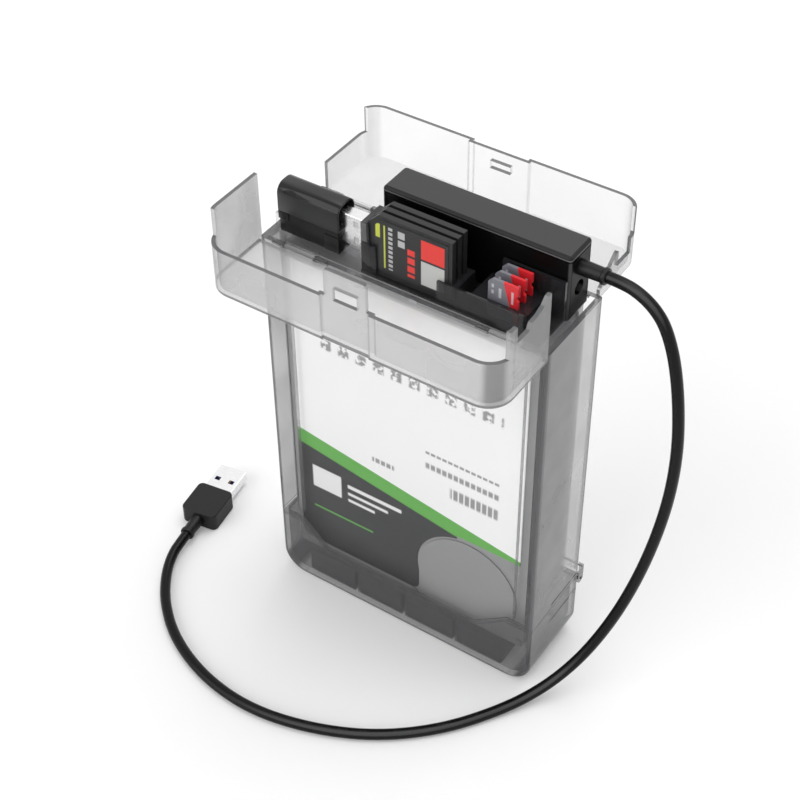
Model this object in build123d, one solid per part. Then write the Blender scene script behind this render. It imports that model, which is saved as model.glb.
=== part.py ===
from build123d import *
import math
import os

# A drive-box kit with a plugged-in USB to SATA adapter, in millimetres.
# The box stands on its end cap, X runs along its width with the cable at +X,
# Y runs from the label side to the back, and Z is up from the surface.

# Box
case_width = 112.0
case_depth = 35.0
case_height = 163.0
case_wall = 2.0
case_edge_radius = 1.4
foot_radius = 10.0
seam_height = 30.0
seam_gap = 0.3
tongue_bottom = 19.4
tongue_left_top = -46.0
tongue_left_bottom = -35.0
tongue_right_bottom = 31.0
tongue_right_top = 45.0
tongue_radius = 3.0

# End cap hinge
cap_barrel_radius = 1.9
cap_pin_radius = 0.9
pin_clearance = 0.05
cap_hinge_out = 2.1
cap_hinge_height = 25.5
cap_knuckle_gap = 0.4
cap_centre_knuckle = 32.0
cap_moving_knuckle = 20.0
cap_lug_height = 5.9
cap_root_height = 1.6
rib_thickness = 1.2
rib_positions = (-22.6, -0.7, 22.1)
pad_width_left = 45.0
pad_width_right = 43.0
side_band_length = 20.5
side_band_height = 7.5
groove_depth = 0.5
groove_width = 0.8

# Drive
drive_side_room = 3.2
drive_face_room = 2.45
drive_head_gap = 0.3
drive_side_play = 0.3
drive_seat_gap = 0.3
cap_floor = 2.0
seat_height = 11.2
cover_thickness = 1.5
label_thickness = 0.2
board_thickness = 1.6
board_left_over = 12.0
board_right_over = 6.0
board_length = 77.0
board_head = 1.0
board_step_width = 16.0
board_step_height = 28.0
side_screw_radius = 1.5
side_screw_depth = 5.0
side_screw_back = 6.35
side_screw_head = 28.5
side_screw_step = 41.6
side_screw_foot = 16.7
arm_room_head = 20.5
disc_wall = 3.3
disc_thickness = 1.3
disc_spacing = 4.6
disc_hub_radius = 13.0
disc_centre_height = 52.0
disc_chamber_play = 1.0
disc_chamber_depth = 17.0
drive_corner_radius = 3.0
emboss_x = 26.0
emboss_height = 20.5
emboss_radius = 22.0
emboss_rise = 0.5
label_side_left = 1.8
label_side_right = 3.2
label_bottom = 4.3
label_head = 6.0
label_step_x = 4.6
label_foot = 43.5
label_panel_foot = 21.0
label_foot_x = 21.0
label_corner = 3.0
cover_screw_radius = 1.6
cover_screw_height = 0.45
screw_inset = 2.4
port_width = 42.0
port_depth = 5.6
port_height = 6.5
port_centre_x = 17.0
port_back = 5.05
port_slot_depth = 2.6
port_slot_width = 38.5
contact_pitch = 1.27
contact_width = 0.7
contact_count = 22

# Top deck and stick tray
deck_thickness = 2.2
deck_edge_play = 0.15
tray_floor = 1.0
tray_wall = 1.2
tray_wall_height = 3.0
fin_height = 7.5
deck_slot_side = 7.5
deck_slot_length = 12.5
deck_slot_width = 1.2
deck_slot_front = 1.6

# Lids
lid_hinge_radius = 1.2
lid_pin_radius = 0.6
lid_hinge_drop = 1.0
lid_edge_play = 0.45
lid_floor = 1.5
lid_wall = 1.4
front_corner_radius = 9.0
front_lid_reach = 31.2
front_rim_height = 18.0
front_fin_height = 28.5
fin_length = 23.2
rear_lid_inset = 1.7
rear_corner_radius = 8.0
rear_lid_reach = 29.4
rear_lid_wall = 1.3
rear_rim_height = 22.2
rear_side_height = 12.4
lid_knuckle_start = 34.0
lid_knuckle_length = 12.0
box_knuckle_length = 4.0
knuckle_gap = 0.3
front_tab_half = 9.0
front_tab_recess = 0.9
rear_tab_half = 10.8
rear_tab_recess = 1.3
tongue_half_width = 7.9
tongue_plate = 1.4
tongue_height = 28.5
window_width = 9.1
window_low = 17.3
window_high = 22.0
hook_width = 8.0
hook_low = 13.6
hook_high = 16.6
hook_proud = 1.6
slot_play = 0.5

# Adapter
adapter_length = 70.5
adapter_depth = 13.6
adapter_height = 26.0
adapter_side_gap = 2.1
adapter_back_gap = 0.7
adapter_foot_gap = 0.7
adapter_wall = 1.6
adapter_edge_radius = 1.3
adapter_cover = 2.2
cover_groove = 0.4
plug_in_depth = 4.6
receptacle_width = 37.8
receptacle_depth = 1.9
receptacle_root = 5.0
adapter_board_gap = 1.7
adapter_board_thickness = 1.2
adapter_part_height = 15.0
chip_from_left = 20.6
chip_size = 7.0
chip_thickness = 1.0
adapter_board_spots = (
    (6.6, 4.0, 3.4, 2.4),
    (12.6, 2.4, 1.6, 1.0),
    (32.1, 5.0, 5.0, 2.8),
    (39.1, 2.0, 1.2, 0.9),
    (43.1, 3.2, 1.6, 1.2),
)
jack_height = 10.8
jack_width = 9.0
jack_length = 11.0
jack_bore_radius = 2.8
jack_pin_radius = 1.0
jack_bore_length = 9.0
jack_out = 6.4

# Lead
cable_radius = 2.05
relief_radius = 2.7
relief_end_radius = 2.45
relief_length = 9.6
relief_bead = 2.9
relief_bead_length = 1.8
exit_out = 6.6
exit_height = 18.8
usb_turn = 8.5
usb_x = -97.45
usb_y = -20.9
overmould_width = 15.7
overmould_length = 16.0
overmould_height = 8.0
overmould_radius = 2.2
usb_shell_width = 12.0
usb_shell_height = 4.5
usb_shell_length = 13.6
usb_shell_wall = 0.3
usb_shell_grip = 3.0
usb_tongue_height = 1.9
plug_relief_length = 9.2
route_points = (
    (67.7, 7.8, 180.0),
    (73.6, 7.8, 178.1),
    (78.7, 7.9, 174.5),
    (82.9, 8.0, 168.9),
    (87.0, 8.3, 157.0),
    (90.1, 8.6, 139.5),
    (91.9, 8.6, 119.5),
    (91.4, 8.0, 98.0),
    (88.5, 6.6, 75.0),
    (84.0, 4.0, 52.5),
    (78.3, -0.2, 32.5),
    (71.3, -7.4, 15.5),
    (63.4, -18.4, 5.2),
    (54.5, -33.5, 2.1),
    (40.5, -53.5, 2.1),
    (21.5, -69.5, 2.1),
    (-1.0, -79.6, 2.1),
    (-24.0, -84.2, 2.1),
    (-46.5, -81.6, 2.1),
    (-66.8, -73.4, 2.1),
    (-81.4, -61.8, 2.1),
    (-90.2, -50.5, 2.4),
    (-94.3, -41.5, 3.3),
)

# Stored cards and stick
sd_length = 32.0
sd_height = 24.0
sd_thickness = 2.1
sd_cut = 4.2
sd_count = 3
sd_pitch = 3.35
sd_stick_gap = 3.6
sd_front_gap = 1.8
sd_label_thickness = 0.15
sd_label_margin = 1.4
lock_length = 3.6
lock_height = 1.8
lock_travel = 1.6
lock_from_left = 3.4
lock_play = 0.05
micro_width = 11.0
micro_height = 15.0
micro_thickness = 1.0
micro_count = 3
micro_back_gap = 3.3
micro_from_right = 21.5
micro_front_gap = 4.0
micro_cut = 1.6
card_play = 0.25
rack_floor = 1.2
comb_wall = 3.1
comb_groove = 0.9
left_comb_height = 19.0
right_comb_height = 8.0
guard_from_cards = 27.0
guard_side_gap = 6.4
guard_thickness = 0.9
guard_height = 9.4
guard_front_gap = 0.5
micro_block_gap = 6.5
micro_block_height = 6.6
backboard_length = 22.9
backboard_side_gap = 2.6
backboard_height = 15.5
backboard_thickness = 1.2
stick_side_gap = 2.3
stick_length = 24.7
stick_thickness = 9.6
stick_height = 19.3
stick_front_gap = 3.2
stick_top_radius = 4.2
stick_plug_length = 9.4
stick_plug_wall = 0.3
stick_rise = 0.15

# Worked-out places
inner_half_width = case_width / 2 - case_wall
inner_half_depth = case_depth / 2 - case_wall
drive_foot = cap_floor + seat_height + drive_seat_gap
deck_top = case_height
deck_under = deck_top - deck_thickness
drive_top = deck_under - drive_head_gap
drive_length = drive_top - drive_foot
drive_width = 2 * (inner_half_width - drive_side_room)
drive_depth = 2 * (inner_half_depth - drive_face_room)
port_centre_y = drive_depth / 2 - port_back
disc_radius = drive_width / 2 - disc_wall
label_left = -drive_width / 2 + label_side_left
label_right = drive_width / 2 - label_side_right
label_top = drive_length - label_head
deck_slot_left = -inner_half_width + deck_slot_side
deck_slot_y = -inner_half_depth + deck_slot_front
lid_hinge_height = case_height - lid_hinge_drop
lid_hinge_y = case_depth / 2 - lid_hinge_radius
lid_under = lid_hinge_height - lid_hinge_radius
lid_back = case_depth / 2 + lid_edge_play - lid_hinge_y
cap_hinge_y = case_depth / 2 + cap_hinge_out
adapter_right = inner_half_width - adapter_side_gap
adapter_bottom = drive_top + adapter_foot_gap
exit_z = adapter_bottom + exit_height
adapter_left = adapter_right - adapter_length
adapter_back = inner_half_depth - adapter_back_gap
adapter_front = adapter_back - adapter_depth
jack_y = adapter_front + jack_out
exit_y = adapter_front + exit_out
adapter_top = adapter_bottom + adapter_height
stick_left = -inner_half_width + stick_side_gap
stick_front = -inner_half_depth + stick_front_gap
sd_left = stick_left + stick_length + stick_plug_length + sd_stick_gap
sd_front = -inner_half_depth + sd_front_gap
backboard_right = inner_half_width - backboard_side_gap
backboard_left = backboard_right - backboard_length
micro_left = backboard_right - micro_from_right
micro_front = -inner_half_depth + micro_front_gap
micro_pitch = (adapter_front - micro_back_gap - micro_thickness - micro_front) / (micro_count - 1)
guard_front = -inner_half_depth + guard_front_gap
micro_block_left = sd_left + sd_length + micro_block_gap
guard_left = sd_left + guard_from_cards
guard_right = backboard_right - guard_side_gap
rack_top = deck_top + rack_floor
tray_top = deck_top + tray_floor
front_reach_y = lid_hinge_y + front_lid_reach
rear_reach_y = lid_hinge_y + rear_lid_reach
hook_reach_y = rear_reach_y - rear_tab_recess + hook_proud
middle_y = (max(rear_reach_y, hook_reach_y) - front_reach_y) / 2


def block(x, y, z):
    """A box between its lowest and highest X, Y and Z, each given as a pair."""
    centre = Pos((x[0] + x[1]) / 2, (y[0] + y[1]) / 2, (z[0] + z[1]) / 2)
    return centre * Box(abs(x[1] - x[0]), abs(y[1] - y[0]), abs(z[1] - z[0]))


def both_ways(low, high):
    """The pair from low to high and its mirror image about zero."""
    return ((low, high), (-high, -low))


def rod_x(x, y, z, radius):
    """A round rod along X between the pair x, at height z and depth y."""
    return Pos((x[0] + x[1]) / 2, y, z) * Rot(0, 90, 0) * Cylinder(radius, abs(x[1] - x[0]))


def rod_y(x, y, z, radius):
    """A round rod along Y between the pair y."""
    return Pos(x, (y[0] + y[1]) / 2, z) * Rot(90, 0, 0) * Cylinder(radius, abs(y[1] - y[0]))


def front_prism(points, y, radius=0.0):
    """An outline of X and Z points, run along Y between the pair y."""
    outline = make_face(Polyline(*[(px, pz) for px, pz in points], close=True))
    if radius > 0:
        outline = fillet(outline.vertices(), radius)
    placed = Plane((0, y[1], 0), x_dir=(1, 0, 0), z_dir=(0, -1, 0)) * outline
    return extrude(placed, amount=y[1] - y[0])


def side_prism(points, x):
    """An outline of Y and Z points, run along X between the pair x."""
    outline = make_face(Polyline(*[(py, pz) for py, pz in points], close=True))
    placed = Plane((x[0], 0, 0), x_dir=(0, 1, 0), z_dir=(1, 0, 0)) * outline
    return extrude(placed, amount=x[1] - x[0])


def save(shape, name):
    """Writes one named piece, with the open box's middle at Y zero."""
    placed = Pos(0, -middle_y, 0) * shape
    solids = placed.solids()
    export_step(solids[0] if len(solids) == 1 else Compound(children=list(solids)), f"parts/{name}.step")


def box_block(inset, top):
    """The box as a solid, shrunk by inset, with round lower corners."""
    width = case_width - 2 * inset
    height = top - inset
    outline = Rectangle(width, height)
    low = outline.vertices().group_by(Axis.Y)[0]
    outline = fillet(low, foot_radius - inset)
    half_depth = case_depth / 2 - inset
    placed = Plane((0, half_depth, inset + height / 2), x_dir=(1, 0, 0), z_dir=(0, -1, 0)) * outline
    return extrude(placed, amount=2 * half_depth)


def box_shell():
    """The whole box's walls, closed at the foot and open at the rim."""
    tall = case_height + 4 * case_wall
    outer = box_block(0.0, tall)
    long_edges = outer.faces().sort_by(Axis.Y)[0].edges() + outer.faces().sort_by(Axis.Y)[-1].edges()
    low_edges = [edge for edge in long_edges if edge.center().Z < tall - 1]
    outer = fillet(low_edges, case_edge_radius)
    outer -= block((-case_width, case_width), (-case_depth, case_depth), (case_height, tall + 1))
    return outer - box_block(case_wall, tall)


def seam_points(drop):
    """The tongue's outline on the front wall, lowered and widened by drop."""
    top = seam_height + case_wall
    return (
        (tongue_left_top - drop, top),
        (tongue_left_top - drop, seam_height - drop),
        (tongue_left_bottom - drop / 2, tongue_bottom - drop),
        (tongue_right_bottom + drop / 2, tongue_bottom - drop),
        (tongue_right_top + drop, seam_height - drop),
        (tongue_right_top + drop, top),
    )


def seam_tongue(drop):
    """The part of the front wall that dips below the seam."""
    front_wall = (-case_depth / 2 - 1, -inner_half_depth + 0.05)
    return front_prism(seam_points(drop), front_wall)


def cap_knuckle_spans():
    """X spans of the box's knuckles and of the cap's, on the cap hinge."""
    centre = cap_centre_knuckle / 2
    moving_end = centre + cap_knuckle_gap + cap_moving_knuckle
    fixed = [(-centre, centre)]
    moving = []
    for sign in (-1, 1):
        moving.append(tuple(sorted((sign * (centre + cap_knuckle_gap), sign * moving_end))))
        fixed.append(tuple(sorted((sign * (moving_end + cap_knuckle_gap), sign * case_width / 2))))
    return fixed, moving


def cap_lug(span, up):
    """One knuckle of the end cap's hinge: up joins the box above the seam, down joins the cap."""
    wall = case_depth / 2
    back = cap_hinge_y + cap_barrel_radius
    lug = rod_x(span, cap_hinge_y, cap_hinge_height, cap_barrel_radius)
    if up:
        lug += block(span, (cap_hinge_y - cap_barrel_radius, back), (cap_hinge_height, seam_height + cap_root_height))
        lug += block(span, (wall - 0.3, back), (seam_height, seam_height + cap_root_height))
    else:
        lug += block(span, (wall - 0.3, back), (cap_hinge_height - cap_lug_height, cap_hinge_height))
    return lug


def cap_pin_bore(span):
    """The hole for the end cap's pin."""
    return rod_x((span[0] - 1, span[1] + 1), cap_hinge_y, cap_hinge_height, cap_pin_radius + pin_clearance)


def corner_posts():
    """Four upright corner posts that guide the drive and carry the deck."""
    posts = None
    side_face = drive_width / 2 + drive_side_play
    front_face = drive_depth / 2 + drive_side_play
    run = (seam_height + case_wall, deck_under)
    for xs in both_ways(side_face, inner_half_width + 0.5):
        for ys in both_ways(front_face - 4.0, inner_half_depth + 0.5):
            posts = block(xs, ys, run) if posts is None else posts + block(xs, ys, run)
    for xs in both_ways(side_face - 4.0, inner_half_width + 0.5):
        for ys in both_ways(front_face, inner_half_depth + 0.5):
            posts += block(xs, ys, run)
    return posts


def lid_knuckle_spans():
    """X spans of one lid's knuckles, one each side of the middle."""
    return both_ways(lid_knuckle_start, lid_knuckle_start + lid_knuckle_length)


def lid_hinge_cuts_and_knuckles():
    """The box's pockets for the lid knuckles, and the box's own knuckles."""
    swing = lid_hinge_radius + 1.0
    cuts = []
    knuckles = []
    for side in (-1, 1):
        y = side * lid_hinge_y
        ys = sorted((side * (inner_half_depth - 1), side * (case_depth / 2 + 1)))
        for span in lid_knuckle_spans():
            pocket = (span[0] - knuckle_gap, span[1] + knuckle_gap)
            cuts.append(block(pocket, ys, (lid_hinge_height - swing, case_height + 2)))
            for ends in ((pocket[0] - box_knuckle_length, pocket[0]), (pocket[1], pocket[1] + box_knuckle_length)):
                knuckles.append(rod_x(ends, y, lid_hinge_height, lid_hinge_radius))
    return cuts, knuckles


def lid_pin_bores(side):
    """The holes for one lid's two pins."""
    bores = []
    for span in lid_knuckle_spans():
        reach = (span[0] - knuckle_gap - box_knuckle_length - 1, span[1] + knuckle_gap + box_knuckle_length + 1)
        bores.append(rod_x(reach, side * lid_hinge_y, lid_hinge_height, lid_pin_radius + pin_clearance))
    return bores


def side_grooves(height):
    """A shallow groove at this height on each side face, over its rear part."""
    ys = (case_depth / 2 - side_band_length, case_depth / 2 + 1.0)
    grooves = []
    for xs in both_ways(case_width / 2 - groove_depth, case_width / 2 + 1.0):
        grooves.append(block(xs, ys, (height, height + groove_width)))
    return grooves


def case_body():
    """The box's sleeve, with its posts, hinge knuckles and front tongue."""
    shell = box_shell()
    upper = block((-case_width, case_width), (-case_depth, case_depth), (seam_height, case_height + 5))
    body = (shell & upper) + (shell & seam_tongue(0.0))
    body += corner_posts()
    cuts, knuckles = lid_hinge_cuts_and_knuckles()
    for cut in cuts:
        body -= cut
    for knuckle in knuckles:
        body += knuckle
    for side in (-1, 1):
        for bore in lid_pin_bores(side):
            body -= bore
    fixed, moving = cap_knuckle_spans()
    for span in fixed:
        body += cap_lug(span, True)
        body -= cap_pin_bore(span)
    for groove in side_grooves(seam_height + cap_root_height):
        body -= groove
    return body


def end_cap():
    """The end cap: the box's foot, with ribs under the drive and its hinge."""
    shell = box_shell()
    cap_rim = seam_height - seam_gap
    lower = block((-case_width, case_width), (-case_depth, case_depth), (-1, cap_rim))
    cap = (shell & lower) - seam_tongue(seam_gap)
    for rib in rib_positions:
        ys = (-inner_half_depth - 0.5, inner_half_depth + 0.5)
        cap += block((rib - rib_thickness / 2, rib + rib_thickness / 2), ys, (cap_floor - 0.5, cap_floor + seat_height))
    fixed, moving = cap_knuckle_spans()
    for span in fixed:
        clear = cap_barrel_radius + 0.25
        cap -= rod_x((span[0] - cap_knuckle_gap, span[1] + 1), cap_hinge_y, cap_hinge_height, clear)
    for span in moving:
        cap += cap_lug(span, False)
        cap -= cap_pin_bore(span)
    for groove in side_grooves(seam_height - side_band_height):
        cap -= groove
    return cap


def hinge_pin():
    """The end cap's pin, through all five knuckles."""
    half = case_width / 2 - 1.0
    return rod_x((-half, half), cap_hinge_y, cap_hinge_height, cap_pin_radius)


def shock_pads():
    """Four rubber pads between the cap's ribs, just under the drive."""
    edges = [-pad_width_left, *rib_positions, pad_width_right]
    pads = []
    gap = rib_thickness / 2 + 0.2
    for index in range(4):
        left = edges[index] + (gap if index > 0 else 0)
        right = edges[index + 1] - (gap if index < 3 else 0)
        ys = (-inner_half_depth + 0.4, inner_half_depth - 0.4)
        pad = block((left, right), ys, (cap_floor, cap_floor + seat_height - 0.2))
        pads.append(fillet(pad.edges().filter_by(Axis.Z), 0.8))
    return Compound(children=pads)


def top_deck():
    """The clear deck in the box's mouth, with the memory stick's tray."""
    half_x = inner_half_width - deck_edge_play
    half_y = case_depth / 2 - 2 * lid_hinge_radius - deck_edge_play + 0.05
    deck = block((-half_x, half_x), (-half_y, half_y), (deck_under, deck_top))
    clear = 0.4
    deck -= block((adapter_left - clear, half_x + 1), (adapter_front - clear, half_y + 1), (deck_under - 1, deck_top + 1))
    slot = (deck_slot_left, deck_slot_left + deck_slot_length)
    slot_y = (deck_slot_y - deck_slot_width / 2, deck_slot_y + deck_slot_width / 2)
    deck -= block(slot, slot_y, (deck_under - 1, deck_top + 1))
    stick_right = stick_left + stick_length
    stick_back = stick_front + stick_thickness
    play = 0.4
    pad = block((stick_left - play - tray_wall, stick_right + 8.0), (stick_front - play, stick_back + play + tray_wall),
                (deck_top - 0.2, tray_top))
    deck += pad
    wall_top = tray_top + tray_wall_height
    deck += block((stick_left - play - tray_wall, stick_right + play), (stick_back + play, stick_back + play + tray_wall),
                  (deck_top - 0.2, wall_top))
    fin_y = (stick_front + 0.5, stick_back)
    fin = block((stick_left - play - tray_wall, stick_left - play), fin_y, (deck_top - 0.2, deck_top + fin_height))
    deck += fin
    plug_mid = stick_front + stick_thickness / 2
    cradle = (stick_right + 1.5, stick_right + 7.0)
    for ys in ((plug_mid - 3.9, plug_mid - 2.6), (plug_mid + 2.6, plug_mid + 3.9)):
        deck += block(cradle, ys, (deck_top - 0.2, tray_top + 3.4))
    return deck


def card_rack():
    """The smoke rack: combs for the cards, a slotted block and a guard wall."""
    left = sd_left - card_play - comb_wall + comb_groove
    right = sd_left + sd_length + card_play
    back = sd_front + (sd_count - 1) * sd_pitch + sd_thickness + 1.4
    floor_back = adapter_front - 0.6
    rack = block((left, backboard_right), (guard_front, floor_back), (deck_top, rack_top))
    rack += block((left, left + comb_wall), (guard_front + 0.6, back), (rack_top - 0.2, rack_top + left_comb_height))
    rack += block((right - comb_groove, right - comb_groove + comb_wall), (guard_front + 0.6, back),
                  (rack_top - 0.2, rack_top + right_comb_height))
    for index in range(sd_count):
        front = sd_front + index * sd_pitch
        ys = (front - card_play - sd_label_thickness, front + sd_thickness + card_play)
        rack -= block((sd_left - card_play, right), ys, (rack_top, rack_top + sd_height))
    rack += block((guard_left, guard_right), (guard_front, guard_front + guard_thickness),
                  (deck_top, deck_top + guard_height))
    rack += block((micro_block_left, guard_right), (guard_front + 0.2, floor_back - 0.2),
                  (rack_top - 0.2, rack_top + micro_block_height))
    rack += block((backboard_left, backboard_right), (floor_back - backboard_thickness, floor_back),
                  (rack_top - 0.2, deck_top + backboard_height))
    for index in range(micro_count):
        front = micro_front + index * micro_pitch
        ys = (front - card_play, front + micro_thickness + card_play)
        xs = (micro_left - card_play, micro_left + micro_width + card_play)
        rack -= block(xs, ys, (rack_top, rack_top + micro_height))
    return rack


def lid_tray(half_width, reach, wall, corner, rim, full):
    """A lid lying open towards -Y: floor and walls, all walls at full height."""
    front = -(lid_hinge_y + reach)
    back = -(case_depth / 2 + lid_edge_play)
    depth = back - front
    outline = Pos(0, (front + back) / 2) * Rectangle(2 * half_width, depth)
    outline = fillet(outline.vertices().group_by(Axis.Y)[0], corner)
    top = lid_under + full
    outer = extrude(Plane((0, 0, lid_under)) * outline, amount=full)
    low_edges = [edge for edge in outer.edges().group_by(Axis.Z)[0] if edge.center().Y < back - 0.1]
    outer = fillet(low_edges, 0.7)
    inside = Pos(0, (front + wall + back + 1) / 2) * Rectangle(2 * (half_width - wall), depth - wall + 1)
    inside = fillet(inside.vertices().group_by(Axis.Y)[0], corner - wall)
    hollow = extrude(Plane((0, 0, lid_under + lid_floor)) * inside, amount=full)
    fin_end = back - fin_length
    above_rim = block((-case_width, case_width), (front - 1, fin_end), (lid_under + rim, top + 1))
    return outer - hollow - above_rim


def recess_tab(tray, reach, wall, rim, half, recess):
    """Steps the middle of a lid's rim inwards, where the two lids clasp."""
    front = -(lid_hinge_y + reach)
    top = lid_under + rim
    tray -= block((-half, half), (front - 1, front + recess), (lid_under - 1, top + 1))
    step = block((-half - wall, half + wall), (front + recess, front + recess + wall), (lid_under + 0.1, top))
    return tray + step


def lid_knuckles(tray):
    """Adds the lid's two knuckles and drills them."""
    for span in lid_knuckle_spans():
        arm_y = (-(case_depth / 2 + lid_edge_play) - 0.5, -lid_hinge_y)
        tray += block(span, arm_y, (lid_under, lid_under + lid_floor))
        tray += rod_x(span, -lid_hinge_y, lid_hinge_height, lid_hinge_radius)
    for bore in lid_pin_bores(-1):
        tray -= bore
    return tray


def front_notch():
    """The cut in the front lid's right wall that the lead passes as it closes."""
    relief_low = lid_hinge_y + exit_y - relief_radius - slot_play
    slot_reach = exit_z - lid_hinge_height
    near = -(lid_hinge_y + slot_reach - relief_radius - slot_play - 0.6)
    far = -(lid_hinge_y + slot_reach + relief_radius + slot_play)
    slot_z = lid_hinge_height + relief_low
    top = lid_under + front_fin_height
    points = (
        (-case_depth / 2, top + 2),
        (-case_depth / 2, top - 0.7),
        (-case_depth / 2 - 2.3, top - 0.7),
        (-case_depth / 2 - 4.6, top - 2.8),
        (-case_depth / 2 - 8.6, top - 4.2),
        (near + 1.2, top - 4.3),
        (near, slot_z),
        (far, slot_z),
        (far - 0.5, top + 2),
    )
    half = case_width / 2
    return side_prism(points, (half - lid_wall - 1, half + 1))


def front_lid():
    """The front lid, open at a right angle, with its clasp tongue."""
    tray = lid_tray(
        case_width / 2, front_lid_reach, lid_wall, front_corner_radius, front_rim_height, front_fin_height
    )
    tray = recess_tab(tray, front_lid_reach, lid_wall, front_rim_height, front_tab_half, front_tab_recess)
    face = -(lid_hinge_y + front_lid_reach) + front_tab_recess
    half = tongue_half_width
    plate = block((-half, half), (face, face + tongue_plate), (lid_under + 0.1, lid_under + tongue_height))
    top_edge = plate.edges().filter_by(Axis.Y).group_by(Axis.Z)[-1]
    plate = fillet(top_edge, 1.0)
    tray += plate
    tray -= block((-window_width / 2, window_width / 2), (face - 2, face + tongue_plate + 2),
                  (lid_under + window_low, lid_under + window_high))
    tray -= front_notch()
    return lid_knuckles(tray)


def rear_slot():
    """The cut in the rear lid's right wall, for the same lead."""
    slot_reach = exit_z - lid_hinge_height
    near = -(lid_hinge_y + slot_reach - relief_radius - slot_play - 2.0)
    far = -(lid_hinge_y + slot_reach + relief_radius + slot_play)
    slot_z = lid_hinge_height + lid_hinge_y - exit_y - relief_radius - slot_play
    top = lid_under + rear_side_height
    half = case_width / 2
    corner = side_prism(
        (
            (-case_depth / 2 + 1, lid_under + 3.6),
            (-case_depth / 2 - 0.3, lid_under + 3.6),
            (-case_depth / 2 - 10.5, top + 0.1),
            (-case_depth / 2 + 1, top + 0.1),
        ),
        (half - rear_lid_inset - rear_lid_wall - 1, half + 1),
    )
    slot = block((half - rear_lid_inset - rear_lid_wall - 1, half + 1), (far, near), (slot_z, top + 1))
    return corner + slot


def rear_lid():
    """The rear lid, open at a right angle, narrow enough to close inside the front lid."""
    half = case_width / 2 - rear_lid_inset
    tray = lid_tray(half, rear_lid_reach, rear_lid_wall, rear_corner_radius, rear_rim_height, rear_rim_height)
    back = -(case_depth / 2 + lid_edge_play)
    above_sides = (lid_under + rear_side_height, lid_under + 2 * rear_rim_height)
    tray -= block((-case_width, case_width), (back - fin_length, back + 1), above_sides)
    tray = recess_tab(tray, rear_lid_reach, rear_lid_wall, rear_rim_height, rear_tab_half, rear_tab_recess)
    face = -(lid_hinge_y + rear_lid_reach) + rear_tab_recess
    tray += block((-hook_width / 2, hook_width / 2), (face - hook_proud, face + 0.3),
                  (lid_under + hook_low, lid_under + hook_high))
    tray = lid_knuckles(tray)
    tray = mirror(tray, about=Plane.XZ)
    return tray - mirror(rear_slot(), about=Plane.XZ)


def lid_pins(side):
    """One lid's two steel pins."""
    pins = []
    for span in lid_knuckle_spans():
        reach = (span[0] - knuckle_gap - box_knuckle_length + 0.3, span[1] + knuckle_gap + box_knuckle_length - 0.3)
        pins.append(rod_x(reach, side * lid_hinge_y, lid_hinge_height, lid_pin_radius))
    return Compound(children=pins)


def drive_base():
    """The drive's casting, with the chamber for its discs and its screw holes."""
    front = -drive_depth / 2 + cover_thickness
    back = drive_depth / 2 - board_thickness
    half = drive_width / 2
    base = block((-half, half), (front, back), (drive_foot, drive_top))
    base = fillet(base.edges().filter_by(Axis.Y), drive_corner_radius)
    centre = drive_foot + disc_centre_height
    base -= rod_y(0, (front - 1, front + disc_chamber_depth), centre, disc_radius + disc_chamber_play)
    arm_low = centre + 0.6 * disc_radius
    arm_top = drive_top - arm_room_head
    base -= block((-0.6 * half, 0.6 * half), (front - 1, front + disc_chamber_depth), (arm_low, arm_top))
    highest = drive_top - side_screw_head
    for z in (highest, highest - side_screw_step, drive_foot + side_screw_foot):
        for xs in both_ways(half - side_screw_depth, half + 1.0):
            base -= rod_x(xs, drive_depth / 2 - side_screw_back, z, side_screw_radius)
    slot = port_room(0.1)
    return base - slot


def port_room(play):
    """The space of the drive's port at its top edge, grown by play."""
    xs = (port_centre_x - port_width / 2 - play, port_centre_x + port_width / 2 + play)
    ys = (port_centre_y - port_depth / 2 - play, port_centre_y + port_depth / 2 + play)
    return block(xs, ys, (drive_top - port_height - play, drive_top + (1.0 if play > 0 else 0.0)))


def drive_sata_port():
    """The drive's port: a shell with a long slot and a blade wall in it."""
    port = port_room(0.0)
    half = port_slot_width / 2
    ys = (port_centre_y - port_slot_depth, port_centre_y + port_slot_depth)
    port -= block((port_centre_x - half, port_centre_x + half), (ys[0] + 0.5, ys[1] - 0.5), (drive_top - plug_in_depth - 0.4, drive_top + 1))
    port += block((port_centre_x - half + 1.5, port_centre_x + half - 1.5), (port_centre_y + 0.5, port_centre_y + 1.6),
                  (drive_top - plug_in_depth - 0.5, drive_top - 0.3))
    return port


def contact_row(y, z, thickness):
    """A row of flat contacts at the SATA pitch, between the pair z."""
    start = port_centre_x - (contact_count - 1) * contact_pitch / 2
    row = []
    for index in range(contact_count):
        x = start + index * contact_pitch
        row.append(block((x - contact_width / 2, x + contact_width / 2), (y, y + thickness), z))
    return Compound(children=row)


def drive_cover():
    """The drive's cover plate, with a raised round over the spindle end."""
    front = -drive_depth / 2
    back = front + cover_thickness
    half = drive_width / 2
    plate = block((-half, half), (front + emboss_rise, back), (drive_foot, drive_top))
    plate = fillet(plate.edges().filter_by(Axis.Y), drive_corner_radius)
    round_pad = rod_y(emboss_x, (front, back), drive_foot + emboss_height, emboss_radius - 1.0)
    return plate + (round_pad & block((-half, half), (front, back), (drive_foot + 1.0, drive_top)))


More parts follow.
